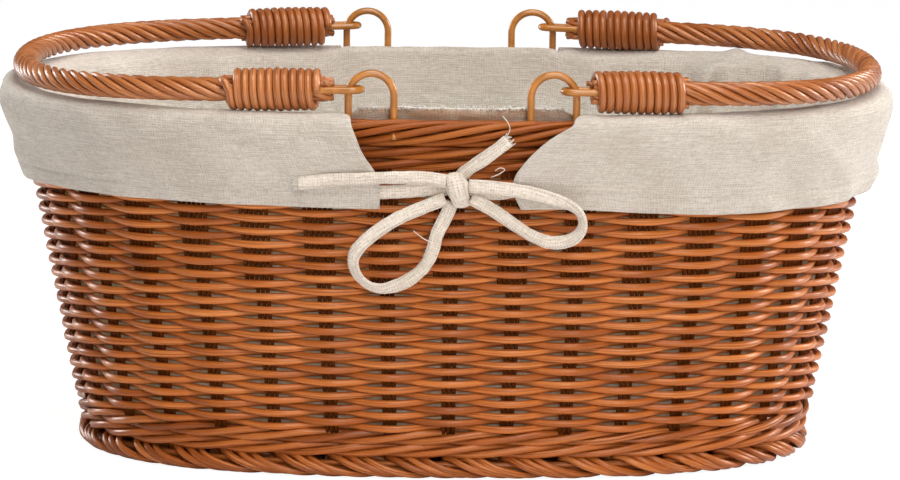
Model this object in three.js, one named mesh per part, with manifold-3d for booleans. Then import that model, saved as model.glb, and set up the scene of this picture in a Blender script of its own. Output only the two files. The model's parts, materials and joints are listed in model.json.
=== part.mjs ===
// An oval wicker basket with two folding hoop handles and a linen liner tied with a bow.
// Millimetres, +Z up, front towards -Y, origin on the floor under the middle of the basket.
import * as THREE from "three";
import { mergeVertices } from "three/addons/utils/BufferGeometryUtils.js";
import Module from "manifold-3d";

const wasm = await Module();
wasm.setup();

// Clearances
const SEAM = 0.3; // between pieces that rest on each other
const WIRE_PLAY = 0.3; // round a wire in its hole or groove
const LINER_EASE = 0.8; // of the bag inside the wall

// Oval plan and wall
const PLAN_POWER = 2.5; // exponent of the oval: 2 is an ellipse, more is squarer
const WALL_HALF_LENGTH = 165.6; // to the outside of the wall, at floor level
const WALL_HALF_DEPTH = 113;
const WALL_LEAN = 0.2; // outwards for each unit of height
const WALL_THICKNESS = 8;
const FINE_COLUMNS = 64; // facets round the borders and the cuff

// Heights of the wicker, from the floor up
const FOOT_HEIGHT = 9.7;
const FOOT_BULGE = 2; // outside the line of the wall
const FOOT_FLAT = 0.5; // where the flat underside ends, outside the same line
const BASE_WALE_HEIGHT = 11.7;
const BASE_WALE_BULGE = 1.5;
const UPRIGHTS = 36;
const SIDE_HEIGHT = 119.6; // of the plain weave
const WEAVER_ROWS = 40;
const WEAVE_DEPTH = 2.2; // from the crest of a weaver to where it dives behind an upright
const TOP_WALE_HEIGHT = 10.7;
const TOP_WALE_BULGE = 1;
const WALE_ROWS = 2;
const RIM_HEIGHT = 12;
const RIM_BULGE = 1.7;

// Base
const MAT_THICKNESS = 4;
const CROSS_STICK_DIAMETER = 6;
const CROSS_STICK_COUNT = 5;
const CROSS_STICK_SPACING = 52;
const LONG_STICK_DIAMETER = 3.4;
const LONG_STICK_COUNT = 3;
const LONG_STICK_SPACING = 42;
const STICK_SIDES = 8;

// Staples that the handles hang on
const STAPLE_SPACING = 80; // between the middles of the two staples on one side
const FITTINGS_SHIFT = 4; // of staples, handles and openings of the cuff to the right of the middle
const STAPLE_RADIUS = 10; // of the arch, at the middle of the wire
const STAPLE_WIRE = 3.3;
const STAPLE_INSET = 5.5; // from the line of the wall at the top of the rim
const STAPLE_FLOOR = 1; // wicker left under the end of a leg
const WIRE_SIDES = 8;
const BEND_STEPS = 8;

// Handles
const HANDLE_END = 194.5; // from the middle of the basket to the far end of a hoop, over the rim
const HANDLE_LIFT = 3; // of the straight ends above the pivot axis, where they lie on the cuff
const HANDLE_TILT = 1.2; // degrees, down towards the far end where the hoop lies on the cuff
const HANDLE_TOE = 8; // degrees, of the straight ends towards the middle of the basket
const HANDLE_STRAIGHT = 66; // from the pivot axis to the start of the bend
const HOOP_FULLNESS = 0.64; // of the bend: 0.55 is an ellipse
const ROPE_DIAMETER = 10.5;
const ROPE_START = 21; // from the pivot axis
const ROPE_SIDES = 10;
const ROPE_STEPS = 34;
const EYE_WIRE = 3.2;
const EYE_RADIUS = 4.2; // of the bend, at the middle of the wire
const EYE_START = 2.8; // from the pivot axis to the closed end
const EYE_END = 50;
const BINDING_START = 23;
const BINDING_TURNS = 11;
const BINDING_PITCH = 3.65;
const BINDING_STRAND = 3;
const BINDING_SIDES = 5;
const BINDING_STEPS = 8; // for each turn

// Liner
const CLOTH = 1.2;
const BAG_COLUMNS = 36;
const CUFF_DROP = 39.6; // of the hem below the top of the rim
const CUFF_HEM_STAND = 2.2; // of the cloth's inner face outside the wall
const CUFF_BELLY_DROP = 12.4;
const CUFF_BELLY_STAND = 6.6;
const CUFF_SHOULDER_STAND = 2.2;
const CUFF_FOLD = 1.2; // rise and fall of the folds
const CUFF_FOLDS = 18;
const GAP_CLEARANCE = 1.35; // of the openings in the cuff outside the legs of the staples
const NOTCH_DROP = 17.9; // of the lowest point of the opening at the back

// Edges of the opening at the front, as distances from the fittings' middle and shares of the
// way from the hem up to the rim
const GAP_CURVE_STEPS = 4;
const GAP_LEFT_PULLS = [[-47, 0.7], [-46, 0.6]];
const GAP_LEFT_TURN = [-39, 0.4];
const GAP_LEFT_HEM = -35;
const GAP_LEFT_LOW_PULL = [GAP_LEFT_HEM, 0.28];
const GAP_RIGHT_HEM = 26;
const GAP_RIGHT_PINCH = [21.6, 0.23];
const GAP_RIGHT_PULL = [33, 0.71];

// Tie
const TAPE_WIDTH = 6;
const TAPE_THICKNESS = 1.6;
const TAPE_LEAST_STEPS = 4;
const KNOT_WIDTH = 9.4;
const KNOT_HEIGHT = 10;
const KNOT_DEPTH = 8.6;
const KNOT_EDGE = 1.6;
const KNOT_X = FITTINGS_SHIFT - 2;
const KNOT_ABOVE_HEM = 7.8;
const KNOT_STAND = 5.3; // of its middle in front of the wall

const WICKER = { color: 0xb9672f, roughness: 0.38, metalness: 0 };
const WIRE = { color: 0xc08a3e, roughness: 0.4, metalness: 0.1 };
const LINEN = { color: 0xd9cfbf, roughness: 0.92, metalness: 0 };

const footTop = FOOT_HEIGHT;
const baseWaleFloor = footTop + SEAM;
const baseWaleTop = baseWaleFloor + BASE_WALE_HEIGHT;
const sideFloor = baseWaleTop + SEAM;
const sideTop = sideFloor + SIDE_HEIGHT;
const weaverPitch = SIDE_HEIGHT / WEAVER_ROWS;
const topWaleFloor = sideTop + SEAM;
const topWaleTop = topWaleFloor + TOP_WALE_HEIGHT;
const rimFloor = topWaleTop + SEAM;
const rimTop = rimFloor + RIM_HEIGHT;
const matTop = baseWaleFloor + MAT_THICKNESS;
const cuffTop = rimTop + SEAM + CLOTH;
const cuffHem = rimTop - CUFF_DROP;
const cuffBelly = rimTop - CUFF_BELLY_DROP;
const notchFloor = rimTop - NOTCH_DROP;

const handleTilt = THREE.MathUtils.degToRad(HANDLE_TILT);
const handleToe = THREE.MathUtils.degToRad(HANDLE_TOE);
const bindingEnd = BINDING_START + BINDING_TURNS * BINDING_PITCH;
// The flat chords between the points of a turn still clear the legs of the eye.
const bindingRadius =
  (EYE_RADIUS + EYE_WIRE / 2 + WIRE_PLAY + BINDING_STRAND / 2) / Math.cos(Math.PI / BINDING_STEPS);
const endHeight =
  cuffTop + SEAM + bindingRadius + BINDING_STRAND / 2 + bindingEnd * Math.sin(handleTilt);
const pivotHeight = endHeight - HANDLE_LIFT;
const leftPivotX = FITTINGS_SHIFT - STAPLE_SPACING / 2;
const rightPivotX = FITTINGS_SHIFT + STAPLE_SPACING / 2;
const gapHalfWidth = STAPLE_SPACING / 2 + STAPLE_RADIUS + STAPLE_WIRE / 2 + GAP_CLEARANCE;

// Oval plan

function signedPower(value, power) {
  return Math.sign(value) * Math.abs(value) ** power;
}

// Angle 0 is the front middle and a quarter turn is the right end.
function ovalPoint(angle, halfLength, halfDepth) {
  const x = halfLength * signedPower(Math.sin(angle), 2 / PLAN_POWER);
  const y = -halfDepth * signedPower(Math.cos(angle), 2 / PLAN_POWER);
  return new THREE.Vector2(x, y);
}

const GIRTH_SAMPLES = 3600;
const girth = [0];
for (let sample = 1; sample <= GIRTH_SAMPLES; sample++) {
  const [before, after] = [sample - 1, sample].map((step) =>
    ovalPoint((step / GIRTH_SAMPLES) * 2 * Math.PI, WALL_HALF_LENGTH, WALL_HALF_DEPTH),
  );
  girth.push(girth[sample - 1] + before.distanceTo(after));
}

// The angle at a share of the way round, measured along the wall.
function angleAtShare(share) {
  const wanted = share * girth[GIRTH_SAMPLES];
  let low = 0;
  let high = GIRTH_SAMPLES;
  while (high - low > 1) {
    const middle = Math.floor((low + high) / 2);
    if (girth[middle] <= wanted) low = middle;
    else high = middle;
  }
  const part = (wanted - girth[low]) / (girth[high] - girth[low]);
  return ((low + part) / GIRTH_SAMPLES) * 2 * Math.PI;
}

// A point at a share of the way round, at a height, a distance outside the face of the wall.
function wallPoint(share, height, outward) {
  const angle = angleAtShare(share);
  const halfLength = WALL_HALF_LENGTH + WALL_LEAN * height;
  const halfDepth = WALL_HALF_DEPTH + WALL_LEAN * height;
  const spot = ovalPoint(angle, halfLength, halfDepth);
  const normal = new THREE.Vector2(
    signedPower(spot.x / halfLength, PLAN_POWER - 1) / halfLength,
    signedPower(spot.y / halfDepth, PLAN_POWER - 1) / halfDepth,
  ).normalize();
  spot.addScaledVector(normal, outward);
  return new THREE.Vector3(spot.x, spot.y, height);
}

// The distance of the wall's face from the long axis, at a distance x from the middle.
function wallDepthAt(x, height) {
  const share = Math.abs(x) / (WALL_HALF_LENGTH + WALL_LEAN * height);
  return (WALL_HALF_DEPTH + WALL_LEAN * height) * (1 - share ** PLAN_POWER) ** (1 / PLAN_POWER);
}

const knotHeight = cuffHem + KNOT_ABOVE_HEM;
const knotAt = new THREE.Vector3(KNOT_X, -wallDepthAt(KNOT_X, knotHeight) - KNOT_STAND, knotHeight);

// Solids

function welded(geometry) {
  geometry.deleteAttribute("normal");
  geometry.deleteAttribute("uv");
  return mergeVertices(geometry);
}

function solidOf(geometry) {
  const whole = welded(geometry.clone());
  return new wasm.Manifold(
    new wasm.Mesh({
      numProp: 3,
      vertProperties: new Float32Array(whole.attributes.position.array),
      triVerts: new Uint32Array(whole.index.array),
    }),
  );
}

function geometryOf(solid) {
  const { vertProperties, triVerts } = solid.getMesh();
  return new THREE.BufferGeometry()
    .setAttribute("position", new THREE.BufferAttribute(vertProperties, 3))
    .setIndex(new THREE.BufferAttribute(triVerts, 1));
}

function cut(geometry, ...tools) {
  return geometryOf(tools.reduce((left, tool) => left.subtract(solidOf(tool)), solidOf(geometry)));
}

function common(geometry, other) {
  return geometryOf(solidOf(geometry).intersect(solidOf(other)));
}

// A closed ring turned on a lathe and bent onto the oval. Its section runs up the outside and
// down the inside, as pairs of the distance outside the wall and the height.
const LATHE_RADIUS = 500;
function ovalRing(columns, section, relief = () => 0) {
  const closed = [...section, section[0]];
  const profile = closed.map(([outward, height]) => new THREE.Vector2(LATHE_RADIUS + outward, height));
  const geometry = new THREE.LatheGeometry(profile, columns);
  const position = geometry.attributes.position;
  for (let index = 0; index < position.count; index++) {
    const column = Math.floor(index / closed.length) % columns;
    const row = (index % closed.length) % section.length;
    const [outward, height] = section[row];
    const spot = wallPoint(column / columns, height, outward + relief(column, row));
    position.setXYZ(index, spot.x, spot.y, spot.z);
  }
  return welded(geometry);
}

// A flat plate of the oval outline at the height of its underside.
function ovalPlate(columns, floor, thickness, outward) {
  const outline = [];
  for (let column = 0; column < columns; column++) {
    const spot = wallPoint(column / columns, floor, outward);
    outline.push(new THREE.Vector2(spot.x, spot.y));
  }
  const plate = new THREE.ExtrudeGeometry(new THREE.Shape(outline), {
    depth: thickness,
    bevelEnabled: false,
  });
  return plate.translate(0, 0, floor);
}

function polygon(sides, halfWidth, halfHeight) {
  const points = [];
  for (let side = 0; side < sides; side++) {
    const angle = ((side + 0.5) / sides) * 2 * Math.PI;
    points.push(new THREE.Vector2(halfWidth * Math.cos(angle), halfHeight * Math.sin(angle)));
  }
  return new THREE.Shape(points);
}

function tube(path, diameter, sides, steps) {
  return new THREE.ExtrudeGeometry(polygon(sides, diameter / 2, diameter / 2), {
    steps,
    extrudePath: path,
    bevelEnabled: false,
  });
}

// Two straight legs along +X, joined by a half circle about the origin on the -X side.
class Hairpin extends THREE.Curve {
  constructor(radius, legLength) {
    super();
    this.radius = radius;
    this.legLength = legLength;
    this.steps = BEND_STEPS + 2;
  }
  getPoint(t) {
    const step = t * this.steps;
    if (step < 1) {
      return new THREE.Vector3(this.legLength * (1 - step), -this.radius, 0);
    }
    if (step > this.steps - 1) {
      return new THREE.Vector3(this.legLength * (step - this.steps + 1), this.radius, 0);
    }
    const angle = ((step - 1) / BEND_STEPS) * Math.PI;
    return new THREE.Vector3(-this.radius * Math.sin(angle), -this.radius * Math.cos(angle), 0);
  }
  getPointAt(t) {
    return this.getPoint(t);
  }
  getTangentAt(t) {
    const step = t * this.steps;
    const angle = THREE.MathUtils.clamp((step - 1) / BEND_STEPS, 0, 1) * Math.PI;
    return new THREE.Vector3(-Math.cos(angle), Math.sin(angle), 0);
  }
}

// A strand wound round the X axis, with a short straight run at each end.
class Winding extends THREE.Curve {
  constructor(start, turns, pitch, radius, endRun) {
    super();
    Object.assign(this, { start, turns, pitch, radius, endRun });
    this.steps = turns * BINDING_STEPS + 2;
  }
  turnPoint(turn) {
    const angle = turn * 2 * Math.PI;
    const along = this.start + turn * this.pitch;
    return new THREE.Vector3(along, this.radius * Math.cos(angle), this.radius * Math.sin(angle));
  }
  turnTangent(turn) {
    const angle = turn * 2 * Math.PI;
    const round = 2 * Math.PI * this.radius;
    return new THREE.Vector3(this.pitch, -round * Math.sin(angle), round * Math.cos(angle)).normalize();
  }
  getPoint(t) {
    const turn = (t * this.steps - 1) / BINDING_STEPS;
    const inside = THREE.MathUtils.clamp(turn, 0, this.turns);
    const past = (turn - inside) * BINDING_STEPS * this.endRun;
    return this.turnPoint(inside).addScaledVector(this.turnTangent(inside), past);
  }
  getPointAt(t) {
    return this.getPoint(t);
  }
  getTangentAt(t) {
    const turn = (t * this.steps - 1) / BINDING_STEPS;
    return this.turnTangent(THREE.MathUtils.clamp(turn, 0, this.turns));
  }
  // The least distance between points of the strand that are half a turn or more apart.
  leastGap(strand) {
    const points = this.getPoints(this.steps);
    let least = Infinity;
    points.forEach((point, index) => {
      for (const other of points.slice(index + BINDING_STEPS / 2)) {
        least = Math.min(least, point.distanceTo(other) - strand);
      }
    });
    return least;
  }
}

// Scene

const basket = new THREE.Group();

function addPiece(parent, name, geometry, finish) {
  geometry.computeVertexNormals();
  const mesh = new THREE.Mesh(geometry, new THREE.MeshStandardMaterial(finish));
  mesh.name = name;
  parent.add(mesh);
  return mesh;
}

// The outer side of rows of rods lying on each other, as a section for a ring.
function rowsSection(floor, height, rows, bulge) {
  const section = [[-bulge, floor]];
  for (let row = 0; row < rows; row++) {
    section.push([bulge, floor + ((row + 0.5) / rows) * height]);
    section.push([-bulge, floor + ((row + 1) / rows) * height]);
  }
  return [...section, [-WALL_THICKNESS, floor + height], [-WALL_THICKNESS, floor]];
}

function addBase() {
  const stickMiddle = baseWaleFloor - SEAM - CROSS_STICK_DIAMETER / 2;
  const stickFloor = stickMiddle - CROSS_STICK_DIAMETER / 2;
  const inside = ovalPlate(FINE_COLUMNS, stickFloor, CROSS_STICK_DIAMETER, -WALL_THICKNESS - SEAM);
  const rod = (diameter, length) =>
    new THREE.CylinderGeometry(diameter / 2, diameter / 2, length, STICK_SIDES);
  const longLength = 2 * (WALL_HALF_LENGTH + WALL_LEAN * FOOT_HEIGHT);
  const crossLength = 2 * (WALL_HALF_DEPTH + WALL_LEAN * FOOT_HEIGHT);
  const longRow = (index) => (index - (LONG_STICK_COUNT - 1) / 2) * LONG_STICK_SPACING;
  const longRod = (diameter, index) =>
    rod(diameter, longLength).rotateZ(Math.PI / 2).translate(0, longRow(index), stickMiddle);
  const bores = [];
  for (let index = 0; index < LONG_STICK_COUNT; index++) {
    const stick = common(longRod(LONG_STICK_DIAMETER, index), inside);
    addPiece(basket, `base_long_stick_${index + 1}`, stick, WICKER);
    bores.push(longRod(LONG_STICK_DIAMETER + 2 * SEAM, index));
  }
  for (let index = 0; index < CROSS_STICK_COUNT; index++) {
    const x = (index - (CROSS_STICK_COUNT - 1) / 2) * CROSS_STICK_SPACING;
    const whole = rod(CROSS_STICK_DIAMETER, crossLength).translate(x, 0, stickMiddle);
    addPiece(basket, `base_cross_stick_${index + 1}`, cut(common(whole, inside), ...bores), WICKER);
  }
  const mat = ovalPlate(FINE_COLUMNS, baseWaleFloor, MAT_THICKNESS, -WALL_THICKNESS - SEAM);
  addPiece(basket, "base_mat", mat, WICKER);
}

function addWall() {
  const foot = [
    [FOOT_FLAT, 0],
    [FOOT_BULGE, FOOT_HEIGHT / 3],
    [FOOT_BULGE, (2 * FOOT_HEIGHT) / 3],
    [FOOT_FLAT, footTop],
    [-WALL_THICKNESS, footTop],
    [-WALL_THICKNESS, 0],
  ];
  addPiece(basket, "foot_border", ovalRing(FINE_COLUMNS, foot), WICKER);

  const baseWale = rowsSection(baseWaleFloor, BASE_WALE_HEIGHT, WALE_ROWS, BASE_WALE_BULGE);
  addPiece(basket, "base_wale", ovalRing(FINE_COLUMNS, baseWale), WICKER);

  // Each weaver passes in front of every other upright, and the next row the other way about.
  const side = [[-WEAVE_DEPTH / 2, sideFloor]];
  for (let row = 0; row < WEAVER_ROWS; row++) {
    side.push([0, sideFloor + (row + 0.5) * weaverPitch]);
  }
  side.push([-WEAVE_DEPTH / 2, sideTop], [-WALL_THICKNESS, sideTop], [-WALL_THICKNESS, sideFloor]);
  const weave = (column, row) => {
    const woven = row >= 1 && row <= WEAVER_ROWS;
    return woven && (column + row) % 2 ? -WEAVE_DEPTH : 0;
  };
  addPiece(basket, "woven_side", ovalRing(UPRIGHTS, side, weave), WICKER);

  const topWale = rowsSection(topWaleFloor, TOP_WALE_HEIGHT, WALE_ROWS, TOP_WALE_BULGE);
  addPiece(basket, "top_wale", ovalRing(FINE_COLUMNS, topWale), WICKER);

  const rim = [
    [0, rimFloor],
    [RIM_BULGE, rimFloor + RIM_HEIGHT / 4],
    [RIM_BULGE, rimFloor + (3 * RIM_HEIGHT) / 4],
    [0, rimTop],
    [-WALL_THICKNESS, rimTop],
    [-WALL_THICKNESS, rimFloor],
  ];
  const holes = staplePlaces().map(({ x, y }) => stapleShape(STAPLE_WIRE + 2 * WIRE_PLAY, WIRE_PLAY, x, y));
  addPiece(basket, "rim_border", cut(ovalRing(FINE_COLUMNS, rim), ...holes), WICKER);
}

// Staples

function staplePlaces() {
  const y = wallDepthAt(rightPivotX, rimTop) - STAPLE_INSET;
  return [
    { name: "staple_front_left", x: leftPivotX, y: -y },
    { name: "staple_front_right", x: rightPivotX, y: -y },
    { name: "staple_back_left", x: leftPivotX, y },
    { name: "staple_back_right", x: rightPivotX, y },
  ];
}

// An arch in the plane of the wall, with its legs set into the rim.
function stapleShape(wire, extraLeg, x, y) {
  const legLength = pivotHeight - rimFloor - STAPLE_FLOOR - WIRE_PLAY + extraLeg;
  const upright = new THREE.Matrix4().makeBasis(
    new THREE.Vector3(0, 0, -1),
    new THREE.Vector3(1, 0, 0),
    new THREE.Vector3(0, -1, 0),
  );
  const arch = new Hairpin(STAPLE_RADIUS, legLength);
  return tube(arch, wire, WIRE_SIDES, arch.steps).applyMatrix4(upright).translate(x, y, pivotHeight);
}

function addStaples() {
  for (const { name, x, y } of staplePlaces()) {
    addPiece(basket, name, stapleShape(STAPLE_WIRE, 0, x, y), WIRE);
  }
}

// Handles

const handleY = staplePlaces()[3].y;

// A point at a distance from the pivot axis along the straight end on the front or back side.
// The end turns inwards about the leg of the staple that it is hooked round.
function handleEnd(distance, side) {
  const past = distance - STAPLE_RADIUS;
  const inward = past * Math.sin(handleToe);
  return new THREE.Vector3(STAPLE_RADIUS + past * Math.cos(handleToe), side * (handleY - inward), 0);
}

function hoopPath(reach) {
  const path = new THREE.CurvePath();
  const far = new THREE.Vector3(reach, 0, 0);
  const bend = (side) => {
    const near = handleEnd(HANDLE_STRAIGHT, side);
    const length = (reach - near.x) * HOOP_FULLNESS;
    const nearPull = handleEnd(HANDLE_STRAIGHT + length / Math.cos(handleToe), side);
    const farPull = new THREE.Vector3(reach, near.y * HOOP_FULLNESS, 0);
    return [near, nearPull, farPull, far];
  };
  path.add(new THREE.LineCurve3(handleEnd(ROPE_START, -1), handleEnd(HANDLE_STRAIGHT, -1)));
  path.add(new THREE.CubicBezierCurve3(...bend(-1)));
  path.add(new THREE.CubicBezierCurve3(...bend(1).reverse()));
  path.add(new THREE.LineCurve3(handleEnd(HANDLE_STRAIGHT, 1), handleEnd(ROPE_START, 1)));
  return path;
}

function eyeShape(wire, extraLeg) {
  const bendMiddle = EYE_START + EYE_WIRE / 2 + EYE_RADIUS;
  const loop = new Hairpin(EYE_RADIUS, EYE_END - bendMiddle + extraLeg);
  return tube(loop, wire, WIRE_SIDES, loop.steps).translate(bendMiddle, 0, 0);
}

function bindingPath() {
  return new Winding(BINDING_START, BINDING_TURNS, BINDING_PITCH, bindingRadius, BINDING_STRAND);
}

// Turns a piece made along +X onto one straight end of the handle.
function ontoEnd(geometry, side) {
  const end = handleEnd(0, side);
  return geometry.rotateZ(-side * handleToe).translate(end.x, end.y, 0);
}

function addHandle(name, turned) {
  const hinge = new THREE.Group();
  const pivotX = turned ? leftPivotX : rightPivotX;
  hinge.position.set(pivotX, 0, pivotHeight);
  hinge.rotation.z = turned ? Math.PI : 0;
  basket.add(hinge);
  const hoop = new THREE.Group();
  hoop.position.z = HANDLE_LIFT;
  hoop.rotation.y = handleTilt;
  hinge.add(hoop);

  const grooves = [-1, 1].map((side) => ontoEnd(eyeShape(EYE_WIRE + 2 * WIRE_PLAY, WIRE_PLAY), side));
  const path = hoopPath(HANDLE_END - Math.abs(pivotX));
  const rope = tube(path, ROPE_DIAMETER, ROPE_SIDES, ROPE_STEPS);
  addPiece(hoop, `${name}_rope`, cut(rope, ...grooves), WICKER);
  for (const side of [-1, 1]) {
    const place = (side < 0) !== turned ? "front" : "back";
    addPiece(hoop, `${name}_eye_${place}`, ontoEnd(eyeShape(EYE_WIRE, 0), side), WIRE);
    const winding = bindingPath();
    const strand = tube(winding, BINDING_STRAND, BINDING_SIDES, winding.steps);
    addPiece(hoop, `${name}_binding_${place}`, ontoEnd(strand, side), WICKER);
  }
}

// Liner

// A prism through half of the cuff, in front or behind, from an outline about the fittings' middle.
function cuffPrism(shape, turn) {
  const depth = WALL_HALF_LENGTH + WALL_LEAN * rimTop;
  const options = { depth, bevelEnabled: false, curveSegments: GAP_CURVE_STEPS };
  const prism = new THREE.ExtrudeGeometry(shape, options).rotateX(Math.PI / 2);
  return prism.rotateZ(turn).translate(FITTINGS_SHIFT, 0, 0);
}

function frontGap() {
  const above = cuffTop + CLOTH;
  const below = cuffHem - CLOTH;
  const at = ([x, share]) => [x, THREE.MathUtils.lerp(cuffHem, rimTop, share)];
  const shape = new THREE.Shape();
  shape.moveTo(-gapHalfWidth, above);
  shape.lineTo(-gapHalfWidth, rimTop);
  shape.bezierCurveTo(...GAP_LEFT_PULLS.flatMap(at), ...at(GAP_LEFT_TURN));
  shape.quadraticCurveTo(...at(GAP_LEFT_LOW_PULL), GAP_LEFT_HEM, below);
  shape.lineTo(GAP_RIGHT_HEM, below);
  shape.lineTo(...at(GAP_RIGHT_PINCH));
  shape.quadraticCurveTo(...at(GAP_RIGHT_PULL), gapHalfWidth, rimTop);
  shape.lineTo(gapHalfWidth, above);
  return cuffPrism(shape, 0);
}

function backNotch() {
  const above = cuffTop + CLOTH;
  const shape = new THREE.Shape();
  shape.moveTo(-gapHalfWidth, above);
  shape.lineTo(-gapHalfWidth, rimTop);
  shape.quadraticCurveTo(-gapHalfWidth, notchFloor, 0, notchFloor);
  shape.quadraticCurveTo(gapHalfWidth, notchFloor, gapHalfWidth, rimTop);
  shape.lineTo(gapHalfWidth, above);
  return cuffPrism(shape, Math.PI);
}

function addLiner() {
  const outside = -WALL_THICKNESS - LINER_EASE;
  const floorTop = matTop + SEAM + CLOTH;
  addPiece(basket, "liner_floor", ovalPlate(BAG_COLUMNS, matTop + SEAM, CLOTH, outside), LINEN);
  const wall = [
    [outside, floorTop + SEAM],
    [outside, rimTop],
    [outside - CLOTH, rimTop],
    [outside - CLOTH, floorTop + SEAM],
  ];
  addPiece(basket, "liner_wall", ovalRing(BAG_COLUMNS, wall), LINEN);

  // The cuff turns over the rim, stands off it in a soft belly and is drawn in at the hem.
  const middleHeight = (cuffBelly + cuffHem) / 2;
  const middleStand = (2 * CUFF_BELLY_STAND + CUFF_HEM_STAND) / 3;
  const shoulderHeight = (rimTop + cuffBelly) / 2;
  const under = [
    [CUFF_HEM_STAND, cuffHem],
    [middleStand, middleHeight],
    [CUFF_BELLY_STAND, cuffBelly],
    [CUFF_BELLY_STAND, shoulderHeight],
    [CUFF_SHOULDER_STAND, rimTop + SEAM],
    [outside - CLOTH, rimTop + SEAM],
  ];
  const shoulder = under.length - 2;
  const over = under.map(([stand, height], row) => [
    row <= shoulder ? stand + CLOTH : stand,
    row >= shoulder ? height + CLOTH : height,
  ]);
  const section = [...over, ...under.toReversed()];
  // The folds are deepest at the hem of the two ends and die out towards the rim.
  const folds = (column, row) => {
    const share = column / FINE_COLUMNS;
    const level = row < under.length ? row : section.length - 1 - row;
    const towardsHem = Math.max(0, 1 - level / shoulder);
    const towardsEnds = Math.abs(Math.sin(2 * Math.PI * share));
    return CUFF_FOLD * towardsHem * towardsEnds * Math.sin(2 * Math.PI * CUFF_FOLDS * share);
  };
  const ring = ovalRing(FINE_COLUMNS, section, folds);
  addPiece(basket, "liner_cuff", cut(ring, frontGap(), backNotch()), LINEN);
}

// Tie

// Each stretch of the tape, as points measured from the middle of the knot.
const TAPE_ROUTES = {
  tie_band_left: [
    [-32.4, 3.8, -2.5], [-23, 3.2, -1.9], [-14, 2.7, -1.1], [-5.1, 2.4, -0.5],
  ],
  tie_band_right: [
    [23, 3, -0.1], [18, 2.8, -0.1], [12, 2.6, -0.1], [5.1, 2.4, -0.1],
  ],
  tie_tail_left: [
    [-5.1, -2.4, 3.5], [-14, -3.2, 5.5], [-25, -3.6, 6.1], [-34, -3.4, 5.7],
    [-44, -2.8, 4.7], [-54, -1.4, 3.5], [-63, 0.4, 2.3], [-70, 2, 1.5],
  ],
  tie_tail_right: [
    [3.8, 1, 7.5], [6.6, 0.6, 9.7], [10.4, -0.4, 12.3],
    [14.6, -1.4, 15.5], [18.4, -2.4, 18.5], [22, -3, 21.5],
  ],
  tie_loop_left: [
    [-5.1, 0, -4.7], [-14, -0.2, -8.1], [-27, 0, -14.1], [-38, 0.8, -21.9],
    [-44.4, 2, -30.5], [-44.2, 3.2, -38.5], [-39.6, 4.2, -44.7], [-32.4, 4.6, -46.9],
    [-23, 4, -43.5], [-15.6, 3, -36.5], [-11, 2, -28.5], [-8.4, 1.2, -20.5],
    [-5, 0.6, -12.9], [-2, 0.2, -6.1],
  ],
  tie_loop_right: [
    [5.1, -2, 1.9], [16.4, -2.6, 2.5], [33, -2.8, 0.3], [47.4, -2, -4.7],
    [54.2, -0.6, -11.5], [54.6, 0.8, -18.5], [50, 2, -24.3], [42, 2.8, -26.5],
    [33.4, 2.8, -23.5], [25, 2.2, -17.9], [16, 1.2, -10.7], [6.1, 0.4, -4.5],
  ],
};

// A route whose tape keeps its flat side towards the front.
class TapeRoute extends THREE.CatmullRomCurve3 {
  computeFrenetFrames(steps) {
    const frames = { tangents: [], normals: [], binormals: [] };
    for (let step = 0; step <= steps; step++) {
      const tangent = this.getTangentAt(step / steps);
      const binormal = new THREE.Vector3(0, -1, 0).cross(tangent).normalize();
      frames.tangents.push(tangent);
      frames.binormals.push(binormal);
      frames.normals.push(tangent.clone().cross(binormal).negate());
    }
    return frames;
  }
}

function addTie() {
  const section = polygon(WIRE_SIDES, TAPE_THICKNESS / 2, TAPE_WIDTH / 2);
  for (const [name, route] of Object.entries(TAPE_ROUTES)) {
    const path = new TapeRoute(route.map((point) => new THREE.Vector3(...point).add(knotAt)));
    const steps = Math.max(TAPE_LEAST_STEPS, Math.round(path.getLength() / TAPE_WIDTH));
    const tape = new THREE.ExtrudeGeometry(section, { steps, extrudePath: path, bevelEnabled: false });
    addPiece(basket, name, tape, LINEN);
  }
  const half = KNOT_WIDTH / 2 - KNOT_EDGE;
  const rise = KNOT_HEIGHT / 2 - KNOT_EDGE;
  const face = new THREE.Shape([
    new THREE.Vector2(-half, -rise),
    new THREE.Vector2(half, -rise),
    new THREE.Vector2(half, rise),
    new THREE.Vector2(-half, rise),
  ]);
  const depth = KNOT_DEPTH - 2 * KNOT_EDGE;
  const knot = new THREE.ExtrudeGeometry(face, {
    depth,
    bevelThickness: KNOT_EDGE,
    bevelSize: KNOT_EDGE,
    bevelSegments: 2,
  });
  knot.translate(0, 0, -depth / 2).rotateX(Math.PI / 2);
  addPiece(basket, "tie_knot", knot, LINEN).position.copy(knotAt);
}

addBase();
addWall();
addStaples();
addHandle("handle_left", true);
addHandle("handle_right", false);
addLiner();
addTie();

const turnGap = bindingPath().leastGap(BINDING_STRAND);
console.log(`Least gap between turns of a binding: ${turnGap.toFixed(2)} mm`);

export default basket;
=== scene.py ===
"""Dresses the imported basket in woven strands, twisted handles, wire eyes and a tied linen liner."""

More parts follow.
